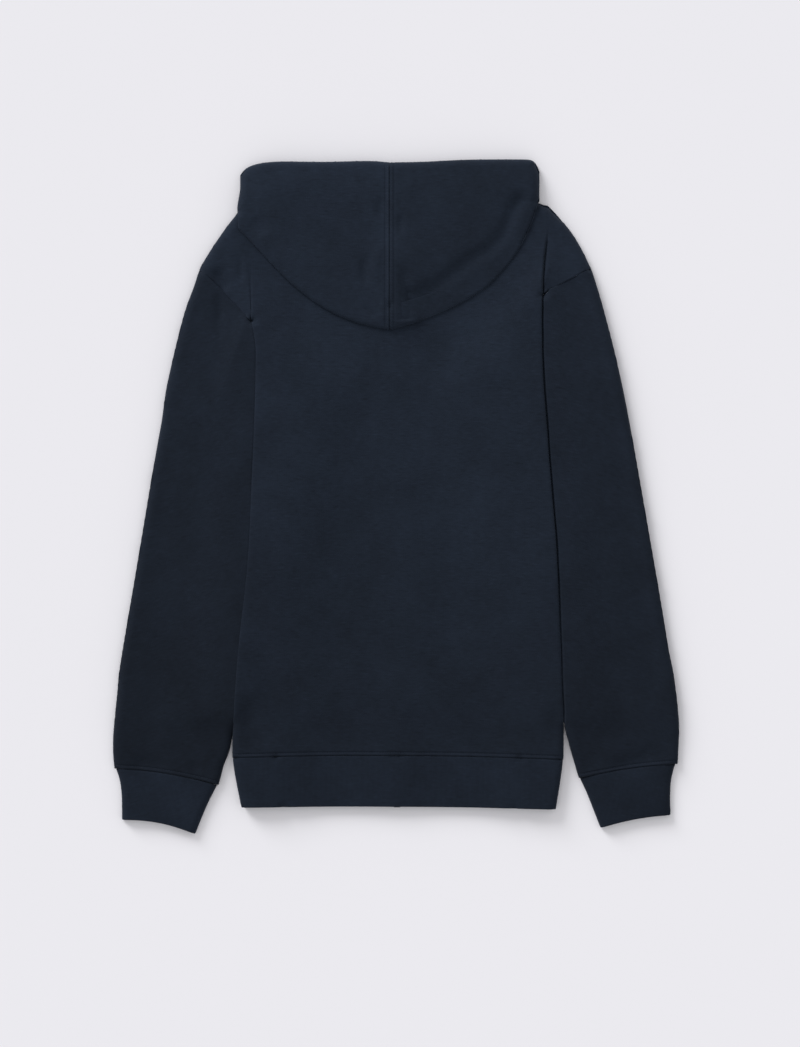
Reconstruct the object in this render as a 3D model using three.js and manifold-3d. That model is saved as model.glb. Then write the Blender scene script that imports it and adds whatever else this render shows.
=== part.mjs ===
// Zip-up hoodie lying flat on its front, its back up and its hood folded down on the back.
// Millimetres, +Z up. +Y runs from hem to hood, and the wearer's left is at -X.
// The origin is on the floor, under the middle of the garment.
//
// Plies from the floor up, at the body's sides: front, its tucked side, the sleeve's two plies,
// the back's tucked side, back. Away from the sides the back sinks onto the front.

import * as THREE from 'three';
import { mergeVertices } from 'three/addons/utils/BufferGeometryUtils.js';
import Module from 'manifold-3d';

const { clamp, degToRad, lerp, smoothstep } = THREE.MathUtils;

// ---- Cloth ---------------------------------------------------------------------------------

const CLOTH = 1.6; // brushed fleece
const BAND = 1.8; // cuffs and hem band
const PLY = 2.2; // from the middle of one ply to the middle of the next
const FLOOR_PLY = CLOTH / 2; // middle of a ply that lies on the floor
const FOLD_ARC = Math.PI * PLY / 2; // cloth taken up by a fold
const FOLD_STEPS = 3;
const BEND_ANGLES = [Math.PI / 3, 2 * Math.PI / 3]; // points between the ends of a tube's bend
const FOLD_INSET = (CLOTH + PLY) / 2; // from the edge of a fold to where its bend starts
const FOLD_TOP_TURN = degToRad(120); // how far a fold still turns at its top
const LEAST_TURN = 0.001;
const FRONT_SHY = 2; // the front's folds stand back under the back's
const FRONT_OPENS = { from: 0, to: 22 }; // run above its top over which a front's fold flattens

// ---- Body ----------------------------------------------------------------------------------

const ZIP_X = 2;
const FRONT_GAP = 4; // from the zip's middle to each front edge
const HEM_SEAM_Y = -300;
const UNDERARM_Y = 130;
const UNDERARM_TUCK = 108; // width of the side turned under, at the underarm
const HEM_TUCK = 50;
const SLEEVE_REACH = 90; // how far the sleeve lies inside the side fold, at the underarm
const SLEEVE_LEAVES_Y = -250; // where the sleeve's inner edge comes out of the fold
const EDGE_CLEAR = { low: 3, high: 8 }; // how far past the sleeve's edge the back stays up
const TUCK_CLEAR = 4; // the same past the edge of the tucked side
const SETTLE = { low: 15, high: 30 }; // run over which it comes down, below the underarm and above
const UNDERARM_BLEND = 20; // half the run over which low values give way to high ones
const SEAM_DIP = 0.8; // share of the stack still under the sleeve at the top of the fold
const SEAM_DIP_RUN = 14;
const SLEEVE_ENDS = { from: -290, under: -252, over: -245 }; // run over which the stack opens for it
const STEP_BESIDE_FOLD = { rises: 25, near: 2, far: 50 };

const ZIP_RIDGE = { height: 2.3, from: 6, to: 34 };
const SLIDER_LIFT = {
  front: { height: 2.8, from: 14, to: 55 },
  back: { height: 4.2, from: 8, to: 60 },
  along: { from: 165, full: 210, fades: 268, gone: 312 },
};

// A side of the body. fold: where the back turns under. out: which way is outwards along X.
// opens: run above the fold's top over which the back's fold flattens out.
const left = {
  out: -1,
  foldTop: 202,
  opens: { from: 0, to: 45 },
  fold: [
    { y: -360, x: -176.5 },
    { y: -300, x: -187 },
    { y: -190, x: -181.5 },
    { y: -90, x: -174 },
    { y: 10, x: -169.5 },
    { y: 130, x: -165 },
    { y: 202, x: -164.5 },
    { y: 338, x: -165 },
  ],
  armhole: [
    { x: -225, y: 260.5 },
    { x: -191, y: 229 },
    { x: -166, y: 202 },
    { x: -75, y: 130 },
  ],
  shoulder: [
    { x: -181, y: 328 },
    { x: -199, y: 304 },
    { x: -213, y: 283 },
    { x: -225, y: 260.5 },
  ],
  yoke: [
    { x: -163, y: 338.5 },
    { x: -150, y: 342 },
    { x: -125, y: 346.5 },
    { x: -95, y: 351 },
  ],
};

const right = {
  out: 1,
  foldTop: 233,
  opens: { from: 12, to: 85 },
  fold: [
    { y: -360, x: 184.5 },
    { y: -300, x: 193 },
    { y: -190, x: 192 },
    { y: -90, x: 188 },
    { y: 10, x: 182 },
    { y: 85, x: 174.5 },
    { y: 150, x: 170 },
    { y: 233, x: 169.5 },
    { y: 301, x: 174.5 },
    { y: 333, x: 176 },
  ],
  armhole: [
    { x: 225, y: 262 },
    { x: 199, y: 248 },
    { x: 171, y: 233 },
    { x: 81, y: 130 },
  ],
  shoulder: [
    { x: 191, y: 318 },
    { x: 203, y: 304 },
    { x: 216, y: 282 },
    { x: 225, y: 262 },
  ],
  yoke: [
    { x: 172, y: 334.5 },
    { x: 153, y: 341.5 },
    { x: 128, y: 346.5 },
    { x: 99, y: 351 },
  ],
};

const BACK_NECK = [
  { x: -60, y: 340.5 },
  { x: -30, y: 335 },
  { x: 2, y: 332 },
  { x: 34, y: 335 },
  { x: 64, y: 340.5 },
];

// Distances from the zip's middle.
const FRONT_NECK = [
  { out: 82, y: 315 },
  { out: 56, y: 281 },
  { out: 29, y: 263 },
  { out: FRONT_GAP, y: 258 },
];

// Rows of the body panels: where each meets the left and the right fold, and how far it bows up
// between them.
const BODY_ROWS = [
  { left: -299.5, right: -301.5, bow: 3 },
  { left: -286, right: -288, bow: 2 },
  { left: -245, right: -245, bow: 0 },
  { left: -190, right: -190, bow: 0 },
  { left: -90, right: -90, bow: 0 },
  { left: 20, right: 20, bow: 0 },
  { left: 95, right: 95, bow: 0 },
  { left: 130, right: 130, bow: 0 },
  { left: 152, right: 160, bow: 0 },
  { left: 176, right: 195, bow: 0 },
  { left: 192, right: 221, bow: 0 },
  { left: 202, right: 233, bow: 0 },
];
const SHOULDER_ROWS = [0.12, 0.35, 0.65, 1]; // shares of the way up to the shoulder
const ARMHOLE_OUTSIDE = 2 / 3; // share of the armhole seam that lies outside the fold
const STRIP = [0.25, 0.5, 0.75, 1]; // stations across the strip beyond a fold
const BOW_HALF = 184; // from the zip's middle to where a bow ends

// ---- Sleeves and cuffs ---------------------------------------------------------------------

const SLEEVE_ROWS = [0, 0.03, 0.12, 0.25, 0.39, 0.53, 0.67, 0.79, 0.89, 0.96, 1];
const SLEEVE_HALF = 4; // spaces from the outer edge to the body's fold, and on to the inner edge
const CUFF_SPACES = 8;
const SLEEVE_SPLIT = { least: 0.3, most: 0.85 };
const SLEEVE_SHY = { x: 0.6, y: 0.8 }; // from the armhole seam to the sleeve's edge

left.sleeve = {
  outer: [
    { y: -312, x: -323 },
    { y: -296, x: -325 },
    { y: -270, x: -325 },
    { y: -244, x: -323 },
    { y: -197, x: -317 },
    { y: -134, x: -306 },
    { y: -28, x: -288 },
    { y: 72, x: -272 },
    { y: 156, x: -256 },
    { y: 215, x: -240 },
    { y: 259.5, x: -225.5 },
  ],
  inner: [
    { y: -331, x: -203.5 },
    { y: -309, x: -197.5 },
    { y: -284, x: -191 },
    { y: -250, x: -186.5 },
    { y: -60, x: -131 },
    { y: 130, x: -75 },
  ],
  endArch: 3.5,
};
left.cuff = [
  { outerX: -321.5, outerY: -312.7, innerX: -205, innerY: -331.7, arch: 3.5 },
  { outerX: -316, outerY: -329, innerX: -210.5, innerY: -342, arch: 3.5 },
  { outerX: -315, outerY: -351, innerX: -219.5, innerY: -360, arch: 4 },
  { outerX: -315, outerY: -371, innerX: -230, innerY: -387.5, arch: 4.5 },
];

right.sleeve = {
  outer: [
    { y: -306.5, x: 324.5 },
    { y: -290, x: 325.5 },
    { y: -270, x: 326 },
    { y: -234, x: 322 },
    { y: -176, x: 314 },
    { y: -97, x: 301 },
    { y: -7, x: 285 },
    { y: 72, x: 272 },
    { y: 146, x: 259 },
    { y: 208, x: 242 },
    { y: 261, x: 225.5 },
  ],
  inner: [
    { y: -323, x: 211 },
    { y: -293, x: 202 },
    { y: -270, x: 195.5 },
    { y: -248, x: 191.6 },
    { y: -60, x: 136 },
    { y: 130, x: 81 },
  ],
  endArch: 2,
};
right.cuff = [
  { outerX: 322.5, outerY: -307.2, innerX: 212, innerY: -323.7, arch: 2 },
  { outerX: 317.5, outerY: -321, innerX: 219, innerY: -338, arch: 2.5 },
  { outerX: 316, outerY: -343, innerX: 226, innerY: -356, arch: 3 },
  { outerX: 317, outerY: -365.5, innerX: 235.5, innerY: -380.5, arch: 2.5 },
];

// ---- Hem band ------------------------------------------------------------------------------

const HEM_ROWS = [
  { left: -300.1, right: -302.1, bow: 3 },
  { left: -312, right: -314, bow: 3 },
  { left: -336, right: -338, bow: 2.5 },
  { left: -357, right: -359, bow: 2 },
];
const HEM_FRONT = [1, 0.75, 0.5, 0.22, 0.07]; // stations from the zip to the fold

// ---- Hood ----------------------------------------------------------------------------------

const HOOD = {
  crown: 11.5, // height of the upper ply over the folded layers
  side: 28, // run over which the hood comes down to its side edges
  rise: 30, // and up from its lower edge
  fall: 34, // and down to its top edge
  roll: 1.6, // bend radius along the lower edge
  tightRoll: 1.1, // the same at the side edges
  back: 26, // how far the cloth returns beneath the lower edge
  topHeight: 8,
  sideTopHeight: 3.6,
  clear: 0.4,
};
const HOOD_LAYERS = {
  stations: [-158, -145, -125, -100, -75, -50, -28, -9, 12, 34, 58, 82, 104, 124, 142],
  under: 1.1, // gap to the upper ply
  over: 0.7, // gap to the back
  overReturn: 0.6, // gap to the hood's ply behind the neck
  rim: 0.4, // share of the thickness left at the rim
};
const HOOD_RUN = [0, 0.06, 0.17, 0.32, 0.48, 0.64, 0.8, 0.93, 1];
const NECK_LINE_Y = 352.5; // lower end of the hood's turned-in edge, behind the neck

left.hood = {
  sideX: -181,
  stations: [-181, -176, -166, -148, -125, -100, -75, -50, -28, -9.3],
  low: [
    { x: -181, y: 307 },
    { x: -167, y: 294 },
    { x: -138, y: 262 },
    { x: -113, y: 237 },
    { x: -91, y: 221 },
    { x: -73, y: 210 },
    { x: -41, y: 197 },
    { x: -9, y: 190 },
  ],
  top: [
    { x: -181, y: 369 },
    { x: -177, y: 375.5 },
    { x: -166, y: 381 },
    { x: -144, y: 385 },
    { x: -78, y: 384.5 },
    { x: -28, y: 386 },
    { x: -9, y: 384 },
  ],
};
right.hood = {
  sideX: 164,
  stations: [-8.7, 12, 34, 58, 82, 104, 124, 140, 151, 159, 164],
  low: [
    { x: -9, y: 190 },
    { x: 29, y: 200 },
    { x: 52, y: 209 },
    { x: 87, y: 227 },
    { x: 112, y: 244.5 },
    { x: 131, y: 267 },
    { x: 147, y: 292 },
    { x: 158.5, y: 320 },
    { x: 164, y: 340 },
  ],
  top: [
    { x: -9, y: 384 },
    { x: 43, y: 385 },
    { x: 71, y: 387 },
    { x: 140, y: 387.5 },
    { x: 157, y: 387 },
    { x: 162, y: 384 },
    { x: 164, y: 373 },
  ],
};

// The long soft fold across the hood's right half.
const HOOD_TROUGH = {
  depth: 1.6,
  width: 14,
  line: [
    { x: 144, y: 347 },
    { x: 121, y: 311 },
    { x: 83, y: 276 },
    { x: 35, y: 242 },
    { x: 1, y: 229 },
  ],
};

const HOOD_EDGE_INNER = [
  { out: 60, y: 351.4 },
  { out: 56, y: 330 },
  { out: 40, y: 308 },
  { out: 22, y: 296 },
  { out: FRONT_GAP, y: 293 },
];
const HOOD_EDGE_STEPS = 8;

// ---- Zip -----------------------------------------------------------------------------------

const CHAIN = { width: 5, thickness: 2.4, z: 2.5, bottomY: -349.5, topY: 247 };
const TAPE = { from: 2.8, to: 15, thickness: 0.8, topY: 256 };
const BOX = { width: 7.2, length: 7, thickness: 3, y: -353.7 };
const SLIDER = {
  y: 246,
  length: 12,
  width: 7.2,
  plate: 0.9,
  clear: 0.3,
  mouth: 0.75, // width of the mouth end, as a share of the width
  shoulder: 0.3, // where the round end starts, as a share of half the length
  post: { x: 2, y: 3, at: 249.8 },
  bridge: { width: 1.8, bar: 0.8, foot: 1, from: 245, to: 251, clear: 0.25 },
};
const PULL = {
  y: 248.9,
  width: 7,
  neck: 4.9,
  length: 30,
  thickness: 1,
  bar: 1,
  window: 4.4,
  slot: 3,
  neckEnds: 2, // below the window
  widens: 4, // over this length
  clear: 0.3,
  droop: 2.9,
};

// ---- Colours -------------------------------------------------------------------------------

const NAVY = 0x1f242e;
const NAVY_BAND = 0x1d222b;
const NAVY_TAPE = 0x191d25;
const TOOTH = 0x22262e;
const GUNMETAL = 0x3b3d42;

const cloth = (color) => new THREE.MeshStandardMaterial({ color, roughness: 0.95, metalness: 0 });
const plastic = (color) => new THREE.MeshStandardMaterial({ color, roughness: 0.5, metalness: 0 });
const metal = (color) => new THREE.MeshStandardMaterial({ color, roughness: 0.4, metalness: 0.9 });

// ---- Tables and curves ---------------------------------------------------------------------

// One column of a table at a place along another, on a smooth curve through the rows.
function read(table, along, column, at) {
  const last = table.length - 1;
  const rising = table[last][along] > table[0][along];
  const rows = rising ? table : [...table].reverse();
  const place = clamp(at, rows[0][along], rows[last][along]);
  let i = 0;
  while (i < last - 1 && place > rows[i + 1][along]) i += 1;
  const slope = (k) => {
    const before = rows[Math.max(k - 1, 0)];
    const after = rows[Math.min(k + 1, last)];
    return (after[column] - before[column]) / (after[along] - before[along]);
  };
  const span = rows[i + 1][along] - rows[i][along];
  const rise = rows[i + 1][column] - rows[i][column];
  const t = (place - rows[i][along]) / span;
  const bend = (1 - t) * (slope(i) * span - rise) - t * (slope(i + 1) * span - rise);
  return rows[i][column] + rise * t + t * (1 - t) * bend;
}

const planCurve = (points) => new THREE.CatmullRomCurve3(
  points.map(({ x, y }) => new THREE.Vector3(x, y, 0)), false, 'centripetal');

const mix = (a, b, t) => ({ x: lerp(a.x, b.x, t), y: lerp(a.y, b.y, t) });

// Closeness of a place to a line of points: 1 on the line, falling off over the width.
function closeness(place, line, width) {
  let nearest = Infinity;
  for (let i = 0; i + 1 < line.length; i += 1) {
    const [from, to] = [line[i], line[i + 1]];
    const along = { x: to.x - from.x, y: to.y - from.y };
    const share = ((place.x - from.x) * along.x + (place.y - from.y) * along.y)
      / (along.x ** 2 + along.y ** 2);
    const foot = mix(from, to, clamp(share, 0, 1));
    nearest = Math.min(nearest, Math.hypot(place.x - foot.x, place.y - foot.y));
  }
  return Math.exp(-((nearest / width) ** 2));
}

// ---- Walls ---------------------------------------------------------------------------------

// A closed wall on a grid of middle points. A ringed wall joins the ends of each row.
function wall(rows, thickness, ringed = false) {
  const [rowCount, width] = [rows.length, rows[0].length];
  const point = (i, j) => {
    const column = ringed ? (j + width) % width : clamp(j, 0, width - 1);
    return rows[clamp(i, 0, rowCount - 1)][column];
  };
  const normal = (i, j) => {
    const across = point(i, j + 1).clone().sub(point(i, j - 1));
    const along = point(i + 1, j).clone().sub(point(i - 1, j));
    return across.cross(along).normalize();
  };
  const upper = rows.map((row, i) => row.map(
    (place, j) => place.clone().addScaledVector(normal(i, j), thickness / 2)));
  const lower = rows.map((row, i) => row.map(
    (place, j) => place.clone().addScaledVector(normal(i, j), -thickness / 2)));
  return shell(upper, lower, ringed);
}

// The closed body between two grids of points. Each cell is cut along its longer diagonal, so
// that the grid can be told from the triangles.
function shell(upper, lower, ringed = false) {
  const [rowCount, width] = [upper.length, upper[0].length];
  const layer = rowCount * width;
  const points = [...upper.flat(), ...lower.flat()];
  const vertex = (top, i, j) => (top ? 0 : layer) + i * width + (j % width);
  const index = [];
  const quad = (a, b, c, d) => {
    if (points[a].distanceTo(points[c]) > points[b].distanceTo(points[d])) {
      index.push(a, b, c, a, c, d);
    } else {
      index.push(b, c, d, b, d, a);
    }
  };
  const spaces = ringed ? width : width - 1;
  for (let i = 0; i + 1 < rowCount; i += 1) {
    for (let j = 0; j < spaces; j += 1) {
      quad(vertex(1, i, j), vertex(1, i, j + 1), vertex(1, i + 1, j + 1), vertex(1, i + 1, j));
      quad(vertex(0, i, j), vertex(0, i + 1, j), vertex(0, i + 1, j + 1), vertex(0, i, j + 1));
    }
  }
  const last = rowCount - 1;
  for (let j = 0; j < spaces; j += 1) {
    quad(vertex(1, 0, j + 1), vertex(1, 0, j), vertex(0, 0, j), vertex(0, 0, j + 1));
    quad(vertex(1, last, j), vertex(1, last, j + 1), vertex(0, last, j + 1), vertex(0, last, j));
  }
  if (!ringed) {
    for (let i = 0; i < last; i += 1) {
      quad(vertex(1, i, 0), vertex(1, i + 1, 0), vertex(0, i + 1, 0), vertex(0, i, 0));
      quad(vertex(1, i + 1, width - 1), vertex(1, i, width - 1),
        vertex(0, i, width - 1), vertex(0, i + 1, width - 1));
    }
  }
  const geometry = new THREE.BufferGeometry();
  const positions = points.flatMap((place) => place.toArray());
  geometry.setAttribute('position', new THREE.Float32BufferAttribute(positions, 3));
  geometry.setIndex(index);
  return facingOut(geometry);
}

// The same body with its faces turned outwards.
function facingOut(geometry) {
  const { array } = geometry.attributes.position;
  const index = geometry.index.array;
  const corner = (k) => new THREE.Vector3().fromArray(array, 3 * index[k]);
  let volume = 0;
  for (let k = 0; k < index.length; k += 3) {
    volume += corner(k).dot(corner(k + 1).cross(corner(k + 2)));
  }
  if (volume < 0) geometry.setIndex([...index].reverse());
  return geometry;
}

// ---- Heights of the plies ------------------------------------------------------------------

const foldX = (side, y) => read(side.fold, 'y', 'x', y);

// How far inside a side's fold line a place lies.
const inside = (side, x, y) => (foldX(side, y) - x) * side.out;

// Width of the strip turned under a side's fold, and the reach of the sleeve inside the fold.
function tuckWidth(side, y) {
  if (y <= UNDERARM_Y) {
    const rise = clamp((y - HEM_SEAM_Y) / (UNDERARM_Y - HEM_SEAM_Y), 0, 1);
    return lerp(HEM_TUCK, UNDERARM_TUCK, rise);
  }
  return UNDERARM_TUCK * (side.foldTop - y) / (side.foldTop - UNDERARM_Y);
}

function sleeveReach(side, y) {
  if (y <= UNDERARM_Y) {
    return SLEEVE_REACH * (y - SLEEVE_LEAVES_Y) / (UNDERARM_Y - SLEEVE_LEAVES_Y);
  }
  return SLEEVE_REACH * (side.foldTop - y) / (side.foldTop - UNDERARM_Y);
}

// Shares of the tucked side and of the sleeve that lie under the back at a place.
function stillUp(past, y) {
  const high = smoothstep(y, UNDERARM_Y - UNDERARM_BLEND, UNDERARM_Y + UNDERARM_BLEND);
  const clear = lerp(EDGE_CLEAR.low, EDGE_CLEAR.high, high);
  return 1 - smoothstep(past, clear, clear + lerp(SETTLE.low, SETTLE.high, high));
}
const tuckUnder = (side, x, y) => 1 - smoothstep(
  inside(side, x, y) - tuckWidth(side, y), TUCK_CLEAR, TUCK_CLEAR + SETTLE.high);
const sleeveUnder = (side, x, y) => stillUp(inside(side, x, y) - sleeveReach(side, y), y)
  * smoothstep(y, SLEEVE_ENDS.from, SLEEVE_ENDS.under);

// How far a fold has turned at a height, in radians.
function foldTurn(side, y, opens) {
  if (y < side.foldTop - 1) return Math.PI;
  return FOLD_TOP_TURN * (1 - smoothstep(y - side.foldTop, opens.from, opens.to)) + LEAST_TURN;
}

// Drop from the start to the end of a fold that has turned this far.
const foldDrop = (turn) => FOLD_ARC / turn * (1 - Math.cos(turn));

// The back stands up beside its fold above the fold's top, where it steps down to the shoulder.
function foldStep(side, x, y) {
  if (y <= side.foldTop) return 0;
  const { rises, near, far } = STEP_BESIDE_FOLD;
  const step = foldDrop(foldTurn(side, y, side.opens)) * smoothstep(y - side.foldTop, 0, rises);
  return step * (1 - smoothstep(inside(side, x, y), near, far));
}

function sliderLift(ply, x, y) {
  const { from, full, fades, gone } = SLIDER_LIFT.along;
  return ply.height * smoothstep(y, from, full) * (1 - smoothstep(y, fades, gone))
    * (1 - smoothstep(Math.abs(x - ZIP_X), ply.from, ply.to));
}
const frontLift = (x, y) => sliderLift(SLIDER_LIFT.front, x, y);

function backHeight(x, y) {
  const fromZip = Math.abs(x - ZIP_X);
  let height = FLOOR_PLY + PLY + sliderLift(SLIDER_LIFT.back, x, y)
    + ZIP_RIDGE.height * (1 - smoothstep(fromZip, ZIP_RIDGE.from, ZIP_RIDGE.to));
  for (const side of [left, right]) {
    height += 2 * PLY * (tuckUnder(side, x, y) + sleeveUnder(side, x, y)) + foldStep(side, x, y);
  }
  return height;
}

const tuckHeight = (side, x, y) => FLOOR_PLY + 2 * PLY * (1 + sleeveUnder(side, x, y));

// The sleeve's lower ply rides over the front's tucked side and comes down to the floor outside.
function sleeveHeight(side, x, y) {
  const over = 1 - smoothstep(-inside(side, x, y), EDGE_CLEAR.low, SETTLE.high);
  const atTop = lerp(1, SEAM_DIP, smoothstep(y, side.foldTop - SEAM_DIP_RUN, side.foldTop));
  const opened = smoothstep(y, SLEEVE_ENDS.from, SLEEVE_ENDS.over);
  return FLOOR_PLY + 2 * PLY * over * atTop * opened;
}

// ---- Body panels ---------------------------------------------------------------------------

// Place on a side's armhole seam: 0 at the shoulder, 1 at the fold's top.
function armholeAt(side, share) {
  const { x, y } = planCurve(side.armhole).getPoint(share * ARMHOLE_OUTSIDE);
  return { x, y };
}

// A body panel's row: rise is 0 up to the fold's top, and runs to 1 at the shoulder.
const bodyRows = [
  ...BODY_ROWS.map((row) => ({ ...row, rise: 0, tucked: row.left < left.foldTop })),
  ...SHOULDER_ROWS.map((rise) => ({
    left: lerp(left.foldTop, left.yoke[0].y, rise),
    right: lerp(right.foldTop, right.yoke[0].y, rise),
    rise,
    tucked: false,
  })),
];
const rowY = (row, side) => (side === left ? row.left : row.right);

// Height along a row at a place across the body.
function alongRow(row, x) {
  const [from, to] = [foldX(left, row.left), foldX(right, row.right)];
  const bow = (row.bow ?? 0) * (1 - Math.min(((x - ZIP_X) / BOW_HALF) ** 2, 1));
  return lerp(row.left, row.right, clamp((x - from) / (to - from), 0, 1)) + bow;
}

// How deep each station of a tucked strip lies: up to the sleeve's inner edge, then to the seam.
function tuckStations(side, y, inset) {
  const seam = tuckWidth(side, y);
  const edge = clamp(sleeveReach(side, y) + EDGE_CLEAR.low, inset + CLOTH, seam * 0.9);
  return [lerp(inset, edge, 0.5), edge, lerp(edge, seam, 0.5), seam];
}

// From a fold outwards: the bend, then the strip beyond it. way is -1 where the cloth turns
// down, as on the back, and 1 where it turns up, as on the fronts.
function foldAndStrip(side, row, spec) {
  const y = rowY(row, side);
  const turn = foldTurn(side, y, spec.opens);
  const radius = FOLD_ARC / turn;
  const start = foldX(side, y) - side.out * spec.inset;
  const points = [];
  for (let k = 1; k <= FOLD_STEPS; k += 1) {
    const angle = turn * k / FOLD_STEPS;
    points.push(new THREE.Vector3(start + side.out * radius * Math.sin(angle), y,
      spec.height + spec.way * radius * (1 - Math.cos(angle))));
  }
  const bendEnd = points[points.length - 1];
  const seam = armholeAt(side, 1 - row.rise);
  const plainSeam = mix(armholeAt(side, 1), armholeAt(side, 0), row.rise);
  const seamHeight = spec.seamHeight(seam.x, seam.y);
  const stations = tuckStations(side, y, spec.inset);
  STRIP.forEach((share, k) => {
    if (row.tucked) {
      const x = foldX(side, y) - side.out * stations[k];
      points.push(new THREE.Vector3(x, alongRow(row, x), spec.tuckHeight(x, y)));
      return;
    }
    const low = mix(bendEnd, armholeAt(side, 1), share);
    const place = mix(low, side.shoulder[k], row.rise);
    place.x += (seam.x - plainSeam.x) * share;
    place.y += (seam.y - plainSeam.y) * share;
    points.push(new THREE.Vector3(place.x, place.y, lerp(bendEnd.z, seamHeight, share)));
  });
  return points;
}

// A panel's middle stretch. Its columns lean towards the top line as the rows rise, apart from
// those at a fold. ends holds the row's two ends, and the same ends at the fold's top.
function middleStretch(row, top, ends, height) {
  const [first, last] = [top[0], top[top.length - 1]];
  return top.map((goal, k) => {
    const across = (goal.x - first.x) / (last.x - first.x);
    const atFold = k === 0 || (k === top.length - 1 && ends.foldAtLast);
    let place = mix(ends.from, ends.to, across);
    if (row.rise > 0 && !atFold) {
      place = mix(mix(ends.topFrom, ends.topTo, across), goal, row.rise);
    }
    if (row.rise === 0) place.y = alongRow(row, place.x);
    return new THREE.Vector3(place.x, place.y, height(place.x, place.y));
  });
}

const foldEnd = (side, y, inset) => ({ x: foldX(side, y) - side.out * inset, y });

const backTop = [...left.yoke, ...BACK_NECK, ...[...right.yoke].reverse()];

function backPanel() {
  const rows = bodyRows.map((row) => {
    const ends = {
      from: foldEnd(left, row.left, FOLD_INSET),
      to: foldEnd(right, row.right, FOLD_INSET),
      topFrom: foldEnd(left, left.foldTop, FOLD_INSET),
      topTo: foldEnd(right, right.foldTop, FOLD_INSET),
      foldAtLast: true,
    };
    const middle = middleStretch(row, backTop, ends, backHeight);
    const [leftStrip, rightStrip] = [left, right].map((side) => foldAndStrip(side, row, {
      inset: FOLD_INSET,
      way: -1,
      opens: side.opens,
      height: (side === left ? middle[0] : middle[middle.length - 1]).z,
      tuckHeight: (x, y) => tuckHeight(side, x, y),
      seamHeight: (x, y) => sleeveHeight(side, x, y) + PLY,
    }));
    return [...leftStrip.reverse(), ...middle, ...rightStrip];
  });
  return wall(rows, CLOTH);
}

function frontPanel(side) {
  const inset = FOLD_INSET + FRONT_SHY;
  const edgeX = ZIP_X + side.out * FRONT_GAP;
  const neck = FRONT_NECK.map(({ out, y }) => ({ x: ZIP_X + side.out * out, y }));
  const top = [...side.yoke, ...neck];
  const height = (x, y) => FLOOR_PLY + frontLift(x, y);
  const rows = bodyRows.map((row) => {
    const ends = {
      from: foldEnd(side, rowY(row, side), inset),
      to: { x: edgeX, y: (row.left + row.right) / 2 },
      topFrom: foldEnd(side, side.foldTop, inset),
      topTo: { x: edgeX, y: (left.foldTop + right.foldTop) / 2 },
      foldAtLast: false,
    };
    const middle = middleStretch(row, top, ends, height);
    const strip = foldAndStrip(side, row, {
      inset,
      way: 1,
      opens: FRONT_OPENS,
      height: FLOOR_PLY,
      tuckHeight: () => FLOOR_PLY + PLY,
      seamHeight: (x, seamY) => sleeveHeight(side, x, seamY),
    });
    return [...strip.reverse(), ...middle];
  });
  return wall(rows, CLOTH);
}

// ---- Sleeves, cuffs ------------------------------------------------------------------------

// One ring of a flattened tube: upper ply, inner bend, lower ply, outer bend.
function flatRing(outer, inner, shares, moved, lowerHeight, thickness) {
  const along = new THREE.Vector3(inner.x - outer.x, inner.y - outer.y, 0);
  const inset = (thickness + PLY) / 2 / along.length();
  along.normalize();
  const place = (share) => {
    const { x, y } = mix(outer, inner, lerp(inset, 1 - inset, share));
    const shift = moved(share);
    return { x: x + shift.x, y: y + shift.y };
  };
  const ply = (share, lifted) => {
    const { x, y } = place(share);
    return new THREE.Vector3(x, y, lowerHeight(x, y) + lifted);
  };
  const bend = (share, way) => {
    const middle = ply(share, PLY / 2);
    return BEND_ANGLES.map((angle) => {
      const swing = middle.clone().addScaledVector(along, way * Math.sin(angle) * PLY / 2);
      swing.z += way * Math.cos(angle) * PLY / 2;
      return swing;
    });
  };
  return [
    ...shares.map((share) => ply(share, PLY)),
    ...bend(1, 1),
    ...[...shares].reverse().map((share) => ply(share, 0)),
    ...bend(0, -1),
  ];
}

function sleeve(side) {
  const { outer, inner, endArch } = side.sleeve;
  const end = (table, at) => table[at ? 0 : table.length - 1].y;
  const seam = planCurve(side.armhole);
  const rows = SLEEVE_ROWS.map((run) => {
    const outerY = lerp(end(outer, 0), end(outer, 1), run);
    const innerY = lerp(end(inner, 0), end(inner, 1), run);
    const from = { x: read(outer, 'y', 'x', outerY), y: outerY };
    const to = { x: read(inner, 'y', 'x', innerY), y: innerY };
    const middleY = (outerY + innerY) / 2;
    const split = clamp((foldX(side, middleY) + 2 * side.out - from.x) / (to.x - from.x),
      SLEEVE_SPLIT.least, SLEEVE_SPLIT.most);
    const shares = [];
    for (let k = 0; k <= 2 * SLEEVE_HALF; k += 1) {
      const half = k / SLEEVE_HALF;
      shares.push(half <= 1 ? half * split : split + (half - 1) * (1 - split));
    }
    const armhole = (1 - run) ** 8;
    const arch = endArch * run ** 6;
    const moved = (share) => {
      const onSeam = seam.getPoint(share < split
        ? share / split * ARMHOLE_OUTSIDE
        : lerp(ARMHOLE_OUTSIDE, 1, (share - split) / (1 - split)));
      const chord = mix(from, to, share);
      return {
        x: (onSeam.x - chord.x + SLEEVE_SHY.x * side.out) * armhole,
        y: (onSeam.y - chord.y - SLEEVE_SHY.y) * armhole + arch * 4 * share * (1 - share),
      };
    };
    return flatRing(from, to, shares, moved, (x, y) => sleeveHeight(side, x, y), CLOTH);
  });
  return wall(rows, CLOTH, true);
}

function cuff(side) {
  const shares = Array.from({ length: CUFF_SPACES + 1 }, (_, k) => k / CUFF_SPACES);
  const rows = side.cuff.map((row) => {
    const outer = { x: row.outerX, y: row.outerY };
    const inner = { x: row.innerX, y: row.innerY };
    const moved = (share) => ({ x: 0, y: row.arch * 4 * share * (1 - share) });
    return flatRing(outer, inner, shares, moved, () => BAND / 2, BAND);
  });
  return wall(rows, BAND, true);
}

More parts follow.
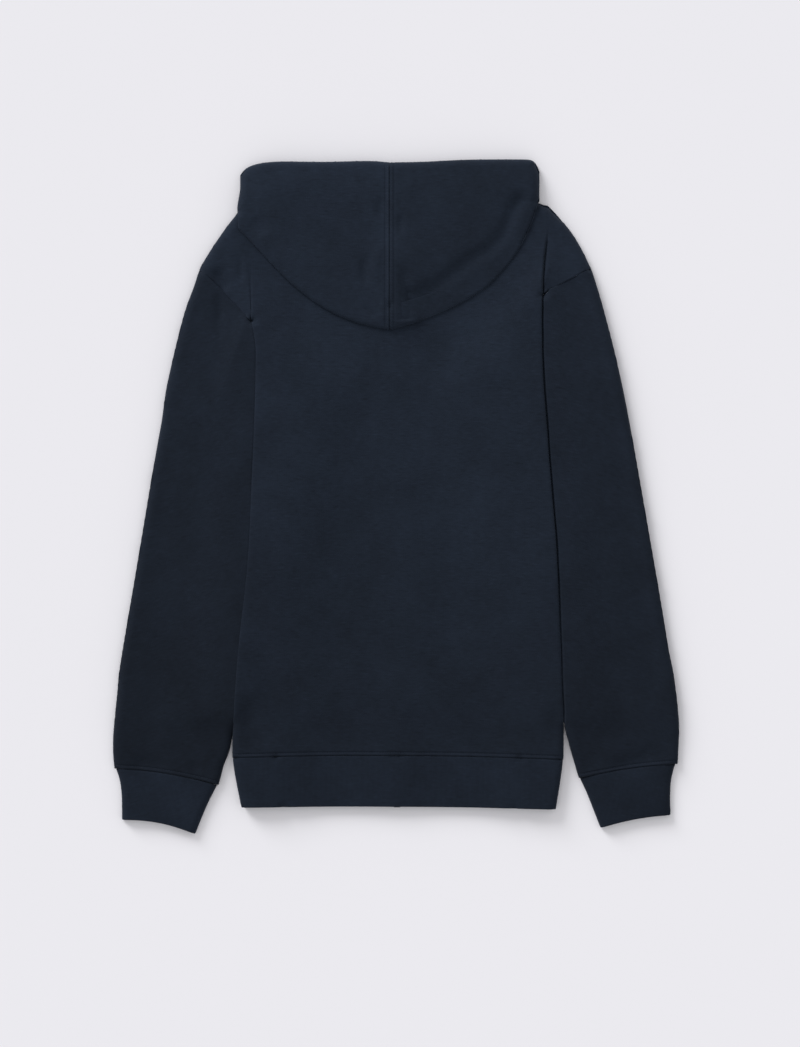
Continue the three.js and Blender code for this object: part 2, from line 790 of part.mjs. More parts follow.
// ---- Hem band ------------------------------------------------------------------------------

// Half of a row from the zip outwards and back to the fold's top: front, fold, strip, turn,
// strip, fold.
function hemHalf(side, row) {
  const y = rowY(row, side);
  const base = BAND / 2;
  const edge = foldX(side, y);
  const at = (deep, height) => {
    const x = edge - side.out * deep;
    return new THREE.Vector3(x, alongRow(row, x), height);
  };
  const arc = (deep, height, way) => BEND_ANGLES.map((angle) => {
    return at(deep - way * Math.sin(angle) * PLY / 2, height - Math.cos(angle) * PLY / 2);
  });
  const nearFold = (BAND + PLY) / 2;
  const turnIn = HEM_TUCK - nearFold;
  const half = Math.abs(ZIP_X + side.out * FRONT_GAP - edge);
  const strip = [nearFold + FRONT_SHY, lerp(nearFold, turnIn, 0.5), turnIn];
  return [
    ...HEM_FRONT.map((share) => at(half * share, base)),
    at(strip[0], base),
    ...arc(strip[0], base + PLY / 2, 1),
    ...strip.map((deep) => at(deep, base + PLY)),
    ...arc(turnIn, base + PLY * 1.5, -1),
    at(turnIn, base + 2 * PLY),
    at(strip[1], base + 2 * PLY),
    at(nearFold, base + 2 * PLY),
    ...arc(nearFold, base + 2.5 * PLY, 1),
  ];
}

function hemBand() {
  const rows = HEM_ROWS.map((row) => {
    const [from, to] = [left, right].map(
      (side) => foldX(side, rowY(row, side)) - side.out * (BAND + PLY) / 2);
    const across = backTop.map((goal) => (goal.x - backTop[0].x)
      / (backTop[backTop.length - 1].x - backTop[0].x));
    const middle = across.map((share) => {
      const x = lerp(from, to, share);
      const y = alongRow(row, x);
      return new THREE.Vector3(x, y, backHeight(x, HEM_SEAM_Y) + (BAND - CLOTH) / 2);
    });
    return [...hemHalf(left, row), ...middle, ...hemHalf(right, row).reverse()];
  });
  return wall(rows, BAND);
}

// ---- Hood ----------------------------------------------------------------------------------

const shoulderLine = [...[...left.shoulder].reverse(), ...backTop, ...right.shoulder];
const panelTopY = (x) => read(shoulderLine, 'x', 'y', x);

// Heights of the hood's upper ply along one station, by the share of the way up.
function hoodStation(half, x) {
  const lowY = read(half.low, 'x', 'y', x);
  const topY = read(half.top, 'x', 'y', x);
  const fromSide = smoothstep(Math.abs(x - half.sideX), 0, HOOD.side);
  const roll = lerp(HOOD.tightRoll, HOOD.roll, fromSide);
  const beneath = (y) => backHeight(x, y) + PLY + HOOD.clear;
  const lowStart = lowY + CLOTH / 2 + roll;
  const topHeight = lerp(HOOD.sideTopHeight, HOOD.topHeight, fromSide);
  const topRoll = (topHeight - FLOOR_PLY) / 2;
  const topStart = topY - CLOTH / 2 - topRoll;
  const height = (y) => {
    const lowest = beneath(Math.min(y, panelTopY(x))) + 2 * roll;
    const crown = lerp(lowest, Math.max(HOOD.crown, lowest), fromSide);
    const rises = smoothstep(y, lowStart, lowStart + HOOD.rise);
    const rising = lerp(beneath(lowStart) + 2 * roll, crown, rises);
    const falls = smoothstep(y, topStart - HOOD.fall, topStart);
    const trough = HOOD_TROUGH.depth * closeness({ x, y }, HOOD_TROUGH.line, HOOD_TROUGH.width);
    return lerp(rising - trough * fromSide, topHeight, falls);
  };
  return { lowY, lowStart, topY, topStart, topRoll, roll, beneath, height };
}

function hoodHalf(half) {
  const rows = half.stations.map((x) => {
    const { lowStart, topStart, topRoll, roll, beneath, height } = hoodStation(half, x);
    const points = [];
    for (const share of [1, 0.6, 0.25, 0]) {
      const y = lowStart + HOOD.back * share;
      points.push(new THREE.Vector3(x, y, beneath(y)));
    }
    for (const k of [1, 2, 3]) {
      const angle = k * Math.PI / 4;
      points.push(new THREE.Vector3(x, lowStart - roll * Math.sin(angle),
        beneath(lowStart) + roll * (1 - Math.cos(angle))));
    }
    for (const share of HOOD_RUN) {
      const y = lerp(lowStart, topStart, share);
      points.push(new THREE.Vector3(x, y, height(y)));
    }
    for (const k of [1, 2, 3, 4]) {
      const angle = k * Math.PI / 5;
      points.push(new THREE.Vector3(x, topStart + topRoll * Math.sin(angle),
        FLOOR_PLY + topRoll * (1 + Math.cos(angle))));
    }
    const behindNeck = x > left.yoke[3].x && x < -left.yoke[3].x;
    const endY = behindNeck ? NECK_LINE_Y : panelTopY(x) + CLOTH;
    for (const share of [0, 0.5, 1]) {
      points.push(new THREE.Vector3(x, lerp(topStart, Math.min(endY, topStart - 4), share),
        FLOOR_PLY));
    }
    return points;
  });
  return wall(rows, CLOTH);
}

// The hidden layers of the hood, as one rounded solid between the upper ply and the back.
function hoodFolds() {
  const { stations } = HOOD_LAYERS;
  const [upper, lower] = [[], []];
  stations.forEach((x, column) => {
    const half = x < left.hood.stations[left.hood.stations.length - 1] ? left.hood : right.hood;
    const { lowStart, topStart, height } = hoodStation(half, x);
    const neckY = panelTopY(x) + 2;
    const firstY = lowStart + HOOD.back + 5;
    const runs = [0, 0.12, 0.4, 0.7, 1].map((share) => lerp(firstY, neckY, share));
    const ys = [...runs, neckY + 6, lerp(neckY + 6, topStart - 1, 0.6), topStart - 1];
    const rim = (row) => row === 0 || row === ys.length - 1
      || column === 0 || column === stations.length - 1;
    ys.forEach((y, row) => {
      const highest = Math.max(backHeight(x, Math.min(y, neckY - 2)), backHeight(x, y - 14));
      const floor = row < runs.length
        ? highest + CLOTH / 2 + HOOD_LAYERS.over
        : CLOTH + HOOD_LAYERS.overReturn;
      const ceiling = height(y) - CLOTH / 2 - HOOD_LAYERS.under;
      const middle = (floor + ceiling) / 2;
      const share = rim(row) ? HOOD_LAYERS.rim : 1;
      upper[row] ??= [];
      lower[row] ??= [];
      upper[row].push(new THREE.Vector3(x, y, lerp(middle, ceiling, share)));
      lower[row].push(new THREE.Vector3(x, y, lerp(middle, floor, share)));
    });
  });
  return shell(upper, lower);
}

// The strip of hood along the front of the neck, from the zip to the shoulder.
function hoodEdge(side) {
  const curveThrough = (points) => planCurve(points.map(
    ({ out, y }) => ({ x: ZIP_X + side.out * out, y })));
  const neck = curveThrough([{ out: 97, y: 350.5 }, ...FRONT_NECK]);
  const inner = curveThrough(HOOD_EDGE_INNER);
  const rows = [];
  for (let k = 0; k <= HOOD_EDGE_STEPS; k += 1) {
    const from = neck.getPoint(k / HOOD_EDGE_STEPS);
    const to = inner.getPoint(k / HOOD_EDGE_STEPS);
    const seamShare = CLOTH / from.distanceTo(to);
    rows.push([seamShare, 0.35, 0.7, 1].map((share) => {
      const { x, y } = mix(from, to, share);
      return new THREE.Vector3(x, y, FLOOR_PLY + frontLift(x, y));
    }));
  }
  return wall(rows, CLOTH);
}

// ---- Zip -----------------------------------------------------------------------------------

// A flat strip beside the zip's middle, from the hem up. from and to are distances from the middle.
function zipStrip(from, to, topY, thickness) {
  const neckY = FRONT_NECK[3].y;
  const along = bodyRows.map((row) => lerp((row.left + row.right) / 2, neckY, row.rise));
  const between = along.filter((y) => y > HEM_SEAM_Y && y < topY - 2);
  const rows = [CHAIN.bottomY, ...between, topY].map((y) => {
    const z = CHAIN.z + frontLift(ZIP_X, y);
    return [from, to].map((out) => new THREE.Vector3(ZIP_X + out, y, z));
  });
  return wall(rows, thickness);
}

const wasm = await Module();
wasm.setup();

function toSolid(geometry) {
  const plain = geometry.index ? geometry : geometry.clone();
  plain.deleteAttribute('normal');
  plain.deleteAttribute('uv');
  const merged = mergeVertices(plain, 1e-4);
  return new wasm.Manifold(new wasm.Mesh({
    numProp: 3,
    vertProperties: new Float32Array(merged.attributes.position.array),
    triVerts: new Uint32Array(merged.index.array),
  }));
}

function toGeometry(solid) {
  const { vertProperties, triVerts } = solid.getMesh();
  const geometry = new THREE.BufferGeometry();
  geometry.setAttribute('position', new THREE.Float32BufferAttribute(vertProperties, 3));
  geometry.setIndex(new THREE.Uint32BufferAttribute(triVerts, 1));
  return geometry;
}

const block = (sizeX, sizeY, sizeZ, x, y, z) => new THREE.BoxGeometry(sizeX, sizeY, sizeZ)
  .translate(x, y, z);

const liftedZ = CHAIN.z + SLIDER_LIFT.front.height;
const plateOffset = CHAIN.thickness / 2 + SLIDER.clear + SLIDER.plate / 2;
const plateUnderside = liftedZ - plateOffset - SLIDER.plate / 2;
const pullZ = plateUnderside - PULL.clear - PULL.thickness / 2;

// A slider plate: wide at the shoulders, narrower at the mouth.
function sliderPlate(z) {
  const [half, long] = [SLIDER.width / 2, SLIDER.length / 2];
  const mouth = half * SLIDER.mouth;
  const shoulder = long * SLIDER.shoulder;
  const outline = new THREE.Shape();
  outline.moveTo(-mouth, -long);
  outline.lineTo(mouth, -long);
  outline.lineTo(half, shoulder);
  outline.absarc(0, shoulder, half, 0, Math.PI, false);
  outline.lineTo(-mouth, -long);
  const options = { depth: SLIDER.plate, bevelEnabled: false, curveSegments: 6 };
  return new THREE.ExtrudeGeometry(outline, options)
    .translate(ZIP_X, SLIDER.y, z - SLIDER.plate / 2);
}

// Two plates on a post, and the bridge that holds the pull's bar under the lower plate.
function slider() {
  const { post, bridge } = SLIDER;
  const barZ = pullZ - PULL.thickness / 2 - bridge.clear - bridge.bar / 2;
  const deep = plateUnderside + SLIDER.plate / 2 - (barZ - bridge.bar / 2);
  const footZ = barZ - bridge.bar / 2 + deep / 2;
  const long = bridge.to - bridge.from;
  const parts = [
    sliderPlate(liftedZ + plateOffset),
    block(post.x, post.y, 2 * plateOffset, ZIP_X, post.at, liftedZ),
    block(bridge.width, long, bridge.bar, ZIP_X, bridge.from + long / 2, barZ),
    block(bridge.width, bridge.foot, deep, ZIP_X, bridge.from + bridge.foot / 2, footZ),
    block(bridge.width, bridge.foot, deep, ZIP_X, bridge.to - bridge.foot / 2, footZ),
  ];
  const whole = parts.reduce((solid, part) => solid.add(toSolid(part)),
    toSolid(sliderPlate(liftedZ - plateOffset)));
  return toGeometry(whole);
}

// The pull lies under the zip, its bar in the slider's bridge and its tip on the floor.
function pull() {
  const [half, neck] = [PULL.width / 2, PULL.neck / 2];
  const neckEnd = -PULL.window - PULL.neckEnds;
  const outline = new THREE.Shape();
  outline.moveTo(-neck, PULL.bar / 2);
  outline.lineTo(-neck, neckEnd);
  outline.lineTo(-half, neckEnd - PULL.widens);
  outline.lineTo(-half, -PULL.length + half);
  outline.absarc(0, -PULL.length + half, half, Math.PI, 2 * Math.PI, false);
  outline.lineTo(half, neckEnd - PULL.widens);
  outline.lineTo(neck, neckEnd);
  outline.lineTo(neck, PULL.bar / 2);
  const window = new THREE.Path();
  const slot = PULL.slot / 2;
  window.moveTo(-slot, -PULL.bar / 2);
  window.lineTo(slot, -PULL.bar / 2);
  window.lineTo(slot, -PULL.bar / 2 - PULL.window);
  window.lineTo(-slot, -PULL.bar / 2 - PULL.window);
  window.lineTo(-slot, -PULL.bar / 2);
  outline.holes.push(window);
  const options = { depth: PULL.thickness, bevelEnabled: false, curveSegments: 8 };
  return new THREE.ExtrudeGeometry(outline, options).translate(0, 0, -PULL.thickness / 2);
}

// ---- The garment ---------------------------------------------------------------------------

const hoodie = new THREE.Group();

function add(name, geometry, material) {
  const mesh = new THREE.Mesh(geometry, material);
  mesh.name = name;
  hoodie.add(mesh);
  return mesh;
}

add('back', backPanel(), cloth(NAVY));
add('front_left', frontPanel(left), cloth(NAVY));
add('front_right', frontPanel(right), cloth(NAVY));
add('sleeve_left', sleeve(left), cloth(NAVY));
add('sleeve_right', sleeve(right), cloth(NAVY));
add('cuff_left', cuff(left), cloth(NAVY_BAND));
add('cuff_right', cuff(right), cloth(NAVY_BAND));
add('hem_band', hemBand(), cloth(NAVY_BAND));
add('hood_left', hoodHalf(left.hood), cloth(NAVY));
add('hood_right', hoodHalf(right.hood), cloth(NAVY));
add('hood_folds', hoodFolds(), cloth(NAVY));
add('hood_edge_left', hoodEdge(left), cloth(NAVY));
add('hood_edge_right', hoodEdge(right), cloth(NAVY));
const tape = (from, to) => zipStrip(from, to, TAPE.topY, TAPE.thickness);
const chain = zipStrip(-CHAIN.width / 2, CHAIN.width / 2, CHAIN.topY, CHAIN.thickness);
add('zip_tape_left', tape(-TAPE.to, -TAPE.from), cloth(NAVY_TAPE));
add('zip_tape_right', tape(TAPE.from, TAPE.to), cloth(NAVY_TAPE));
add('zip_chain', chain, plastic(TOOTH));
add('zip_box', block(BOX.width, BOX.length, BOX.thickness, ZIP_X, BOX.y, CHAIN.z), metal(GUNMETAL));
add('zip_slider', slider(), metal(GUNMETAL));
const pullTab = add('zip_pull', pull(), metal(GUNMETAL));
pullTab.position.set(ZIP_X, PULL.y, pullZ);
pullTab.rotation.x = degToRad(PULL.droop);

export default hoodie;
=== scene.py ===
"""Finish of a zip-up hoodie that lies flat on its front, its back up and its hood folded down.

The frame holds the garment's panels at their true places. Each panel is copied and smoothed, lifted
by the air left between its plies, creased along named lines, and sewn. +Y runs from hem to hood,
and the wearer's left is at -X. Everything is in metres.
"""

from functools import cache
from math import ceil, cos, pi, radians, sin

import bmesh
import bpy
import numpy as np
from bpy.props import FloatProperty, FloatVectorProperty, PointerProperty
from mathutils import Matrix, Vector, kdtree, noise
from mathutils.bvhtree import BVHTree


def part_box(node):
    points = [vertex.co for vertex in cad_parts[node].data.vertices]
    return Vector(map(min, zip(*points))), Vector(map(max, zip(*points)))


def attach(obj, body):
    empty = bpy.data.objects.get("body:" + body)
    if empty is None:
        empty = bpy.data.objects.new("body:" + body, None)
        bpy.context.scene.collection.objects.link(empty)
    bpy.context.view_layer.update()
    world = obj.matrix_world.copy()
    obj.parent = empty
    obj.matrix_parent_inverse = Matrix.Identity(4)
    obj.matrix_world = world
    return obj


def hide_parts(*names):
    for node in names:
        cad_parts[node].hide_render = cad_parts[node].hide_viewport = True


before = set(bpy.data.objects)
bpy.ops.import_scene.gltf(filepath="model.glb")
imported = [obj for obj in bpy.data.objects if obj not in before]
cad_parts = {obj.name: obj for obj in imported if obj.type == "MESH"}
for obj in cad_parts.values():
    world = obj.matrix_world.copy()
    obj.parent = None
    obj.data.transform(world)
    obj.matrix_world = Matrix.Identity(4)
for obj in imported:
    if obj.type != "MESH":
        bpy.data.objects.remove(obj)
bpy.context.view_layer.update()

bl_info = {
    "name": "Zip-up hoodie",
    "version": (1, 0, 0),
    "blender": (4, 5, 0),
    "location": "3D View > Sidebar > Hoodie",
    "description": "Cloth, sewing, zip and stage of a hoodie that lies on its front",
    "category": "Object",
}

MM = 0.001
COARSER = 1  # a trial run has larger faces

# ---- Colours ---------------------------------------------------------------------------------


def linear(code):
    """An sRGB hex colour as linear red, green and blue."""
    shades = [int(code[i:i + 2], 16) / 255 for i in (0, 2, 4)]
    return [s / 12.92 if s <= 0.04045 else ((s + 0.055) / 1.055) ** 2.4 for s in shades]


def length_property(name, description, default):
    return FloatProperty(name=name, description=description, default=default, min=0,
                         unit="LENGTH", precision=4)


def colour_property(name, description, code):
    return FloatVectorProperty(name=name, description=description, default=linear(code),
                               subtype="COLOR", size=3, min=0, max=1)


class HoodieCloth(bpy.types.PropertyGroup):
    """How the cloth lies."""

    puff: length_property("Puff", "How far the air inside lifts the upper plies", 7.8 * MM)
    puff_run: length_property("Puff run", "Distance from the outline to the full lift", 9 * MM)
    settle: length_property("Settle", "How far the cloth sinks away from the outline", 0.8 * MM)
    band_puff: length_property("Band puff", "The lift at the cuffs and the hem band", 4.6 * MM)
    crown: length_property("Crown", "Lift of the back beside its side folds", 0.9 * MM)
    crown_run: length_property("Crown run", "Distance from the fold to the full crown", 5 * MM)
    ripple: length_property("Ripple", "Height of the shallow ripples all over", 0.35 * MM)


class HoodieSewing(bpy.types.PropertyGroup):
    """Thread and stitches."""

    thread: length_property("Thread", "Width of the sewing thread", 0.45 * MM)
    pitch: length_property("Pitch", "From one stitch to the next", 3 * MM)
    margin: length_property("Margin", "From a seam to its row of top stitches", 3.9 * MM)


class HoodieColours(bpy.types.PropertyGroup):
    """Colours of the finishes."""

    fleece: colour_property("Fleece", "Brushed fleece", "181f2a")
    rib: colour_property("Rib", "Cuffs and hem band", "171e29")
    thread: colour_property("Thread", "Sewing thread", "202a39")
    tape: colour_property("Tape", "Woven tape of the zip", "151c29")
    teeth: colour_property("Teeth", "Moulded teeth", "20262f")
    metal: colour_property("Metal", "Plating of the slider", "5c5e63")
    floor: colour_property("Floor", "Plain pale floor", "ebeaef")


# ---- Materials -------------------------------------------------------------------------------


def add_node(tree, kind, settings=None, **links):
    """Adds a node. settings names its own values and its inputs', and links its inputs' sources."""
    made = tree.nodes.new(kind)
    for name, value in (settings or {}).items():
        if name in made.inputs:
            made.inputs[name].default_value = value
        else:
            setattr(made, name, value)
    for name, source in links.items():
        tree.links.new(source, made.inputs[name.replace("_", " ")])
    return made


def new_material(name):
    """An empty material with its Principled shader and its Object coordinates."""
    material = bpy.data.materials.new(name)
    material.use_nodes = True
    tree = material.node_tree
    shader = tree.nodes["Principled BSDF"]
    places = add_node(tree, "ShaderNodeTexCoord").outputs["Object"]
    return material, tree, shader, places


def set_inputs(shader, **values):
    for name, value in values.items():
        shader.inputs[name.replace("_", " ")].default_value = value


def shaded(colour, factor):
    return [*(min(c * factor, 1) for c in colour), 1]


# A knit's stitches are 1 mm wide and its nap is finer still, too fine for the render. The flecks
# and slubs, each with its length and its width, are as coarse as they need to be to show.
WALE = 1.0 * MM
NAP = 0.6 * MM
FLECK = (6 * MM, 2.2 * MM)
MOTTLE = 60 * MM
SLUB = (9 * MM, 1.6 * MM)
RIB = 3 * MM
SLEEVE_TURN, CUFF_TURN = radians(12), radians(14)  # how the wales turn with a sleeve and its cuff
# Painted light falloff: how far the colour is darkened or lightened at some distances along Y. It is
# painted shade toward the hem, where the light falls off, and painted light toward the hood.
PAINTED_LIGHT_FALLOFF = ((-380 * MM, 0.84), (-230 * MM, 0.86), (-50 * MM, 1.0), (130 * MM, 1.11), (330 * MM, 1.17))


def wave_scale(pitch):
    """The Scale of a Wave Texture whose bands are a pitch apart."""
    return 1 / pitch / 20 * pi


def two_tone(tree, shader, colour, source, factors):
    """Colours the shader between two shades of a colour, as a pattern's source goes up."""
    ramp = add_node(tree, "ShaderNodeValToRGB", Fac=source)
    for stop, factor in zip(ramp.color_ramp.elements, factors):
        stop.color = shaded(colour, factor)
    tree.links.new(ramp.outputs["Color"], shader.inputs["Base Color"])


def bumped(tree, shader, source, strength, painted_shading_or_bump_depth):
    """Raises the shader's surface by a pattern."""
    bump = add_node(tree, "ShaderNodeBump", {"Strength": strength, "Distance": painted_shading_or_bump_depth}, Height=source)
    tree.links.new(bump.outputs["Normal"], shader.inputs["Normal"])


def knit_material(name, colour, turn, rib=None, painted_shading_or_bump_depth=1.0):
    """Cotton-rich fleece, knitted, dyed in the piece and brushed: matt, softly mottled, with short
    flecks along the courses and a faint column for each wale. Its colour is painted darker toward
    the hem and lighter toward the hood, as painted shade and painted light for light that falls off
    toward the hem. turn lays the wales along a panel, rib is the width of a pair of ribs, and the
    last argument lightens or darkens the whole panel's colour as painted light and shade."""
    material, tree, shader, places = new_material(name)
    turned = add_node(tree, "ShaderNodeMapping", {"Rotation": (0, 0, turn)}, Vector=places)
    turned = turned.outputs["Vector"]
    stretched = add_node(tree, "ShaderNodeMapping", {
        "Scale": (1 / FLECK[0], 1 / FLECK[1], 1 / FLECK[1])}, Vector=turned)
    fleck = add_node(tree, "ShaderNodeTexNoise", {
        "Scale": 1, "Detail": 1, "Roughness": 0.5}, Vector=stretched.outputs["Vector"])
    mottle = add_node(tree, "ShaderNodeTexNoise", {
        "Scale": 1 / MOTTLE, "Detail": 3, "Roughness": 0.75}, Vector=turned)
    both = add_node(tree, "ShaderNodeMix", {
        "data_type": "FLOAT", "Factor": 0.65})
    tree.links.new(fleck.outputs["Fac"], both.inputs["A"])
    tree.links.new(mottle.outputs["Fac"], both.inputs["B"])
    ramp = add_node(tree, "ShaderNodeValToRGB", Fac=both.outputs["Result"])
    ramp.color_ramp.elements[0].position = 0.3
    ramp.color_ramp.elements[0].color = shaded(colour, 0.78)
    ramp.color_ramp.elements[1].position = 0.7
    ramp.color_ramp.elements[1].color = shaded(colour, 1.24)
    # Painted light and shade: the colour is scaled by a ramp along Y that is darker toward the hem, and
    # by the panel's own painted light and shade factor.
    height = add_node(tree, "ShaderNodeSeparateXYZ", Vector=places).outputs["Y"]
    low, high = PAINTED_LIGHT_FALLOFF[0][0], PAINTED_LIGHT_FALLOFF[-1][0]
    along = add_node(tree, "ShaderNodeMapRange", {"From Min": low, "From Max": high}, Value=height)
    painted_falloff = add_node(tree, "ShaderNodeValToRGB", Fac=along.outputs["Result"])
    while len(painted_falloff.color_ramp.elements) < len(PAINTED_LIGHT_FALLOFF):
        painted_falloff.color_ramp.elements.new(0.5)
    for stop, (y, _) in zip(painted_falloff.color_ramp.elements, PAINTED_LIGHT_FALLOFF):
        stop.position = (y - low) / (high - low)
    for stop, (_, factor) in zip(painted_falloff.color_ramp.elements, PAINTED_LIGHT_FALLOFF):
        stop.color = (*[factor * painted_shading_or_bump_depth] * 3, 1)
    drawn = add_node(tree, "ShaderNodeMapping", {
        "Location": (3, 5, 0), "Scale": (1 / SLUB[0], 1 / SLUB[1], 1 / SLUB[1])}, Vector=turned)
    slub = add_node(tree, "ShaderNodeTexNoise", {
        "Scale": 1, "Detail": 0}, Vector=drawn.outputs["Vector"]).outputs["Fac"]
    thick = add_node(tree, "ShaderNodeMapRange", {
        "From Min": 0.66, "From Max": 0.8, "To Min": 1, "To Max": 1.16}, Value=slub).outputs["Result"]
    thin = add_node(tree, "ShaderNodeMapRange", {
        "From Min": 0.34, "From Max": 0.2, "To Min": 1, "To Max": 0.84}, Value=slub).outputs["Result"]
    yarn = add_node(tree, "ShaderNodeMath", {"operation": "MULTIPLY"})
    tree.links.new(thick, yarn.inputs[0])
    tree.links.new(thin, yarn.inputs[1])
    shades = [ramp.outputs["Color"], painted_falloff.outputs["Color"], yarn.outputs["Value"]]
    while len(shades) > 1:
        made = add_node(tree, "ShaderNodeVectorMath", {"operation": "MULTIPLY"})
        tree.links.new(shades.pop(), made.inputs[0])
        tree.links.new(shades.pop(), made.inputs[1])
        shades.append(made.outputs["Vector"])
    tree.links.new(shades[0], shader.inputs["Base Color"])

    wales = add_node(tree, "ShaderNodeTexWave", {
        "wave_type": "BANDS", "bands_direction": "X", "Scale": wave_scale(WALE),
        "Distortion": 1.5, "Detail": 2, "Detail Scale": 2}, Vector=turned)
    nap = add_node(tree, "ShaderNodeTexNoise", {
        "Scale": 1 / NAP, "Detail": 2}, Vector=turned)
    pile = add_node(tree, "ShaderNodeBump", {
        "Strength": 0.35, "Distance": 0.12 * MM}, Height=nap.outputs["Fac"])
    columns = add_node(tree, "ShaderNodeBump", {
        "Strength": 0.25, "Distance": 0.12 * MM}, Height=wales.outputs["Fac"],
        Normal=pile.outputs["Normal"])
    surface = add_node(tree, "ShaderNodeBump", {
        "Strength": 0.15, "Distance": 0.25 * MM}, Height=fleck.outputs["Fac"],
        Normal=columns.outputs["Normal"])
    if rib:
        ribs = add_node(tree, "ShaderNodeTexWave", {
            "wave_type": "BANDS", "bands_direction": "X", "Scale": wave_scale(rib),
            "Distortion": 0.4, "Detail": 1}, Vector=turned)
        surface = add_node(tree, "ShaderNodeBump", {
            "Strength": 0.25, "Distance": 0.3 * MM}, Height=ribs.outputs["Fac"],
            Normal=surface.outputs["Normal"])
    tree.links.new(surface.outputs["Normal"], shader.inputs["Normal"])
    set_inputs(shader, Roughness=0.92, Specular_IOR_Level=0.12, Sheen_Weight=0.08,
               Sheen_Roughness=0.45, Sheen_Tint=shaded((0.5, 0.6, 0.8), 1))
    return material


@cache
def materials():
    colours = bpy.context.scene.hoodie_colours
    return {
        # Copies of one fleece and one rib. Besides the turn of their wales, each copy's last number is
        # painted light and shade: it lightens or darkens the whole panel's colour to stand in for how
        # light falls on that panel. All copies also carry the painted light falloff along Y.
        "fleece": knit_material("Brushed fleece", colours.fleece, 0),
        "sleeve_left": knit_material("Brushed fleece with painted light and shade, left sleeve", colours.fleece, -SLEEVE_TURN,
                                     painted_shading_or_bump_depth=0.81),
        "sleeve_right": knit_material("Brushed fleece with painted light and shade, right sleeve", colours.fleece, SLEEVE_TURN,
                                      painted_shading_or_bump_depth=0.88),
        "hood_right": knit_material("Brushed fleece, right half of the hood", colours.fleece, 0,
                                    painted_shading_or_bump_depth=0.91),
        "rib": knit_material("Fine rib knit", colours.rib, 0, RIB, 1.1),
        "cuff_left": knit_material("Fine rib knit with painted light and shade, left cuff", colours.rib, -CUFF_TURN, RIB, 1.14),
        "cuff_right": knit_material("Fine rib knit with painted light and shade, right cuff", colours.rib, CUFF_TURN, RIB, 0.95),
        "thread": thread_material(colours.thread),
        "tape": tape_material(colours.tape),
        "teeth": moulded_material(colours.teeth),
        "metal": plated_material(colours.metal),
        "floor": floor_material(colours.floor),
    }


def thread_material(colour):
    """Spun polyester thread, dyed to the cloth: a soft gloss along its twist."""
    material, tree, shader, places = new_material("Polyester thread")
    twist = add_node(tree, "ShaderNodeTexNoise", {"Scale": 1 / (0.5 * MM), "Detail": 2}, Vector=places)
    two_tone(tree, shader, colour, twist.outputs["Fac"], (0.8, 1.25))
    bumped(tree, shader, twist.outputs["Fac"], 0.3, 0.05 * MM)
    set_inputs(shader, Roughness=0.55, Specular_IOR_Level=0.25)
    return material


def tape_material(colour):
    """Woven polyester tape: flat, with a fine twill across it."""
    material, tree, shader, places = new_material("Woven polyester tape")
    twill = add_node(tree, "ShaderNodeTexWave", {
        "wave_type": "BANDS", "bands_direction": "DIAGONAL", "Scale": wave_scale(0.7 * MM),
        "Distortion": 0.5, "Detail": 1}, Vector=places)
    two_tone(tree, shader, colour, twill.outputs["Fac"], (0.75, 1.2))
    bumped(tree, shader, twill.outputs["Fac"], 0.5, 0.1 * MM)
    set_inputs(shader, Roughness=0.75, Specular_IOR_Level=0.25)
    return material


def moulded_material(colour):
    """Acetal teeth, injection moulded: smooth, with a low satin gloss."""
    material, tree, shader, places = new_material("Moulded acetal")
    flow = add_node(tree, "ShaderNodeTexNoise", {"Scale": 1 / (3 * MM), "Detail": 2}, Vector=places)
    two_tone(tree, shader, colour, flow.outputs["Fac"], (0.9, 1.12))
    bumped(tree, shader, flow.outputs["Fac"], 0.1, 0.05 * MM)
    set_inputs(shader, Roughness=0.4, Specular_IOR_Level=0.4)
    return material


def plated_material(colour):
    """Die-cast zinc, tumbled and plated in gunmetal: a grey metal with a satin, worn-in gloss."""
    material, tree, shader, places = new_material("Gunmetal-plated zinc")
    wear = add_node(tree, "ShaderNodeTexNoise", {"Scale": 1 / (1.5 * MM), "Detail": 4}, Vector=places)
    two_tone(tree, shader, colour, wear.outputs["Fac"], (0.8, 1.15))
    gloss = add_node(tree, "ShaderNodeMapRange", {"To Min": 0.28, "To Max": 0.46},
                     Value=wear.outputs["Fac"])
    tree.links.new(gloss.outputs["Result"], shader.inputs["Roughness"])
    bumped(tree, shader, wear.outputs["Fac"], 0.1, 0.03 * MM)
    set_inputs(shader, Metallic=1)
    return material


def floor_material(colour):
    """Painted studio floor: matt and even."""
    material, tree, shader, places = new_material("Matt paint")
    patch = add_node(tree, "ShaderNodeTexNoise", {"Scale": 3, "Detail": 2}, Vector=places)
    two_tone(tree, shader, colour, patch.outputs["Fac"], (0.995, 1.005))
    set_inputs(shader, Roughness=0.95, Specular_IOR_Level=0)
    return material


# ---- Lines in plan ---------------------------------------------------------------------------


def smoothstep(low, high, value):
    share = np.clip((value - low) / (high - low), 0, 1)
    return share * share * (3 - 2 * share)


def rounded(points, steps=5):
    """A smooth curve through a few points, as more points."""
    given = np.array(points, float)
    padded = np.vstack([2 * given[0] - given[1], given, 2 * given[-1] - given[-2]])
    made = []
    for a, b, c, d in zip(padded, padded[1:], padded[2:], padded[3:]):
        for share in np.arange(steps) / steps:
            bend = (2 * a - 5 * b + 4 * c - d) * share + (3 * b - a - 3 * c + d) * share ** 2
            made.append(b + (c - a + bend) * share / 2)
    return np.array([*made, given[-1]])


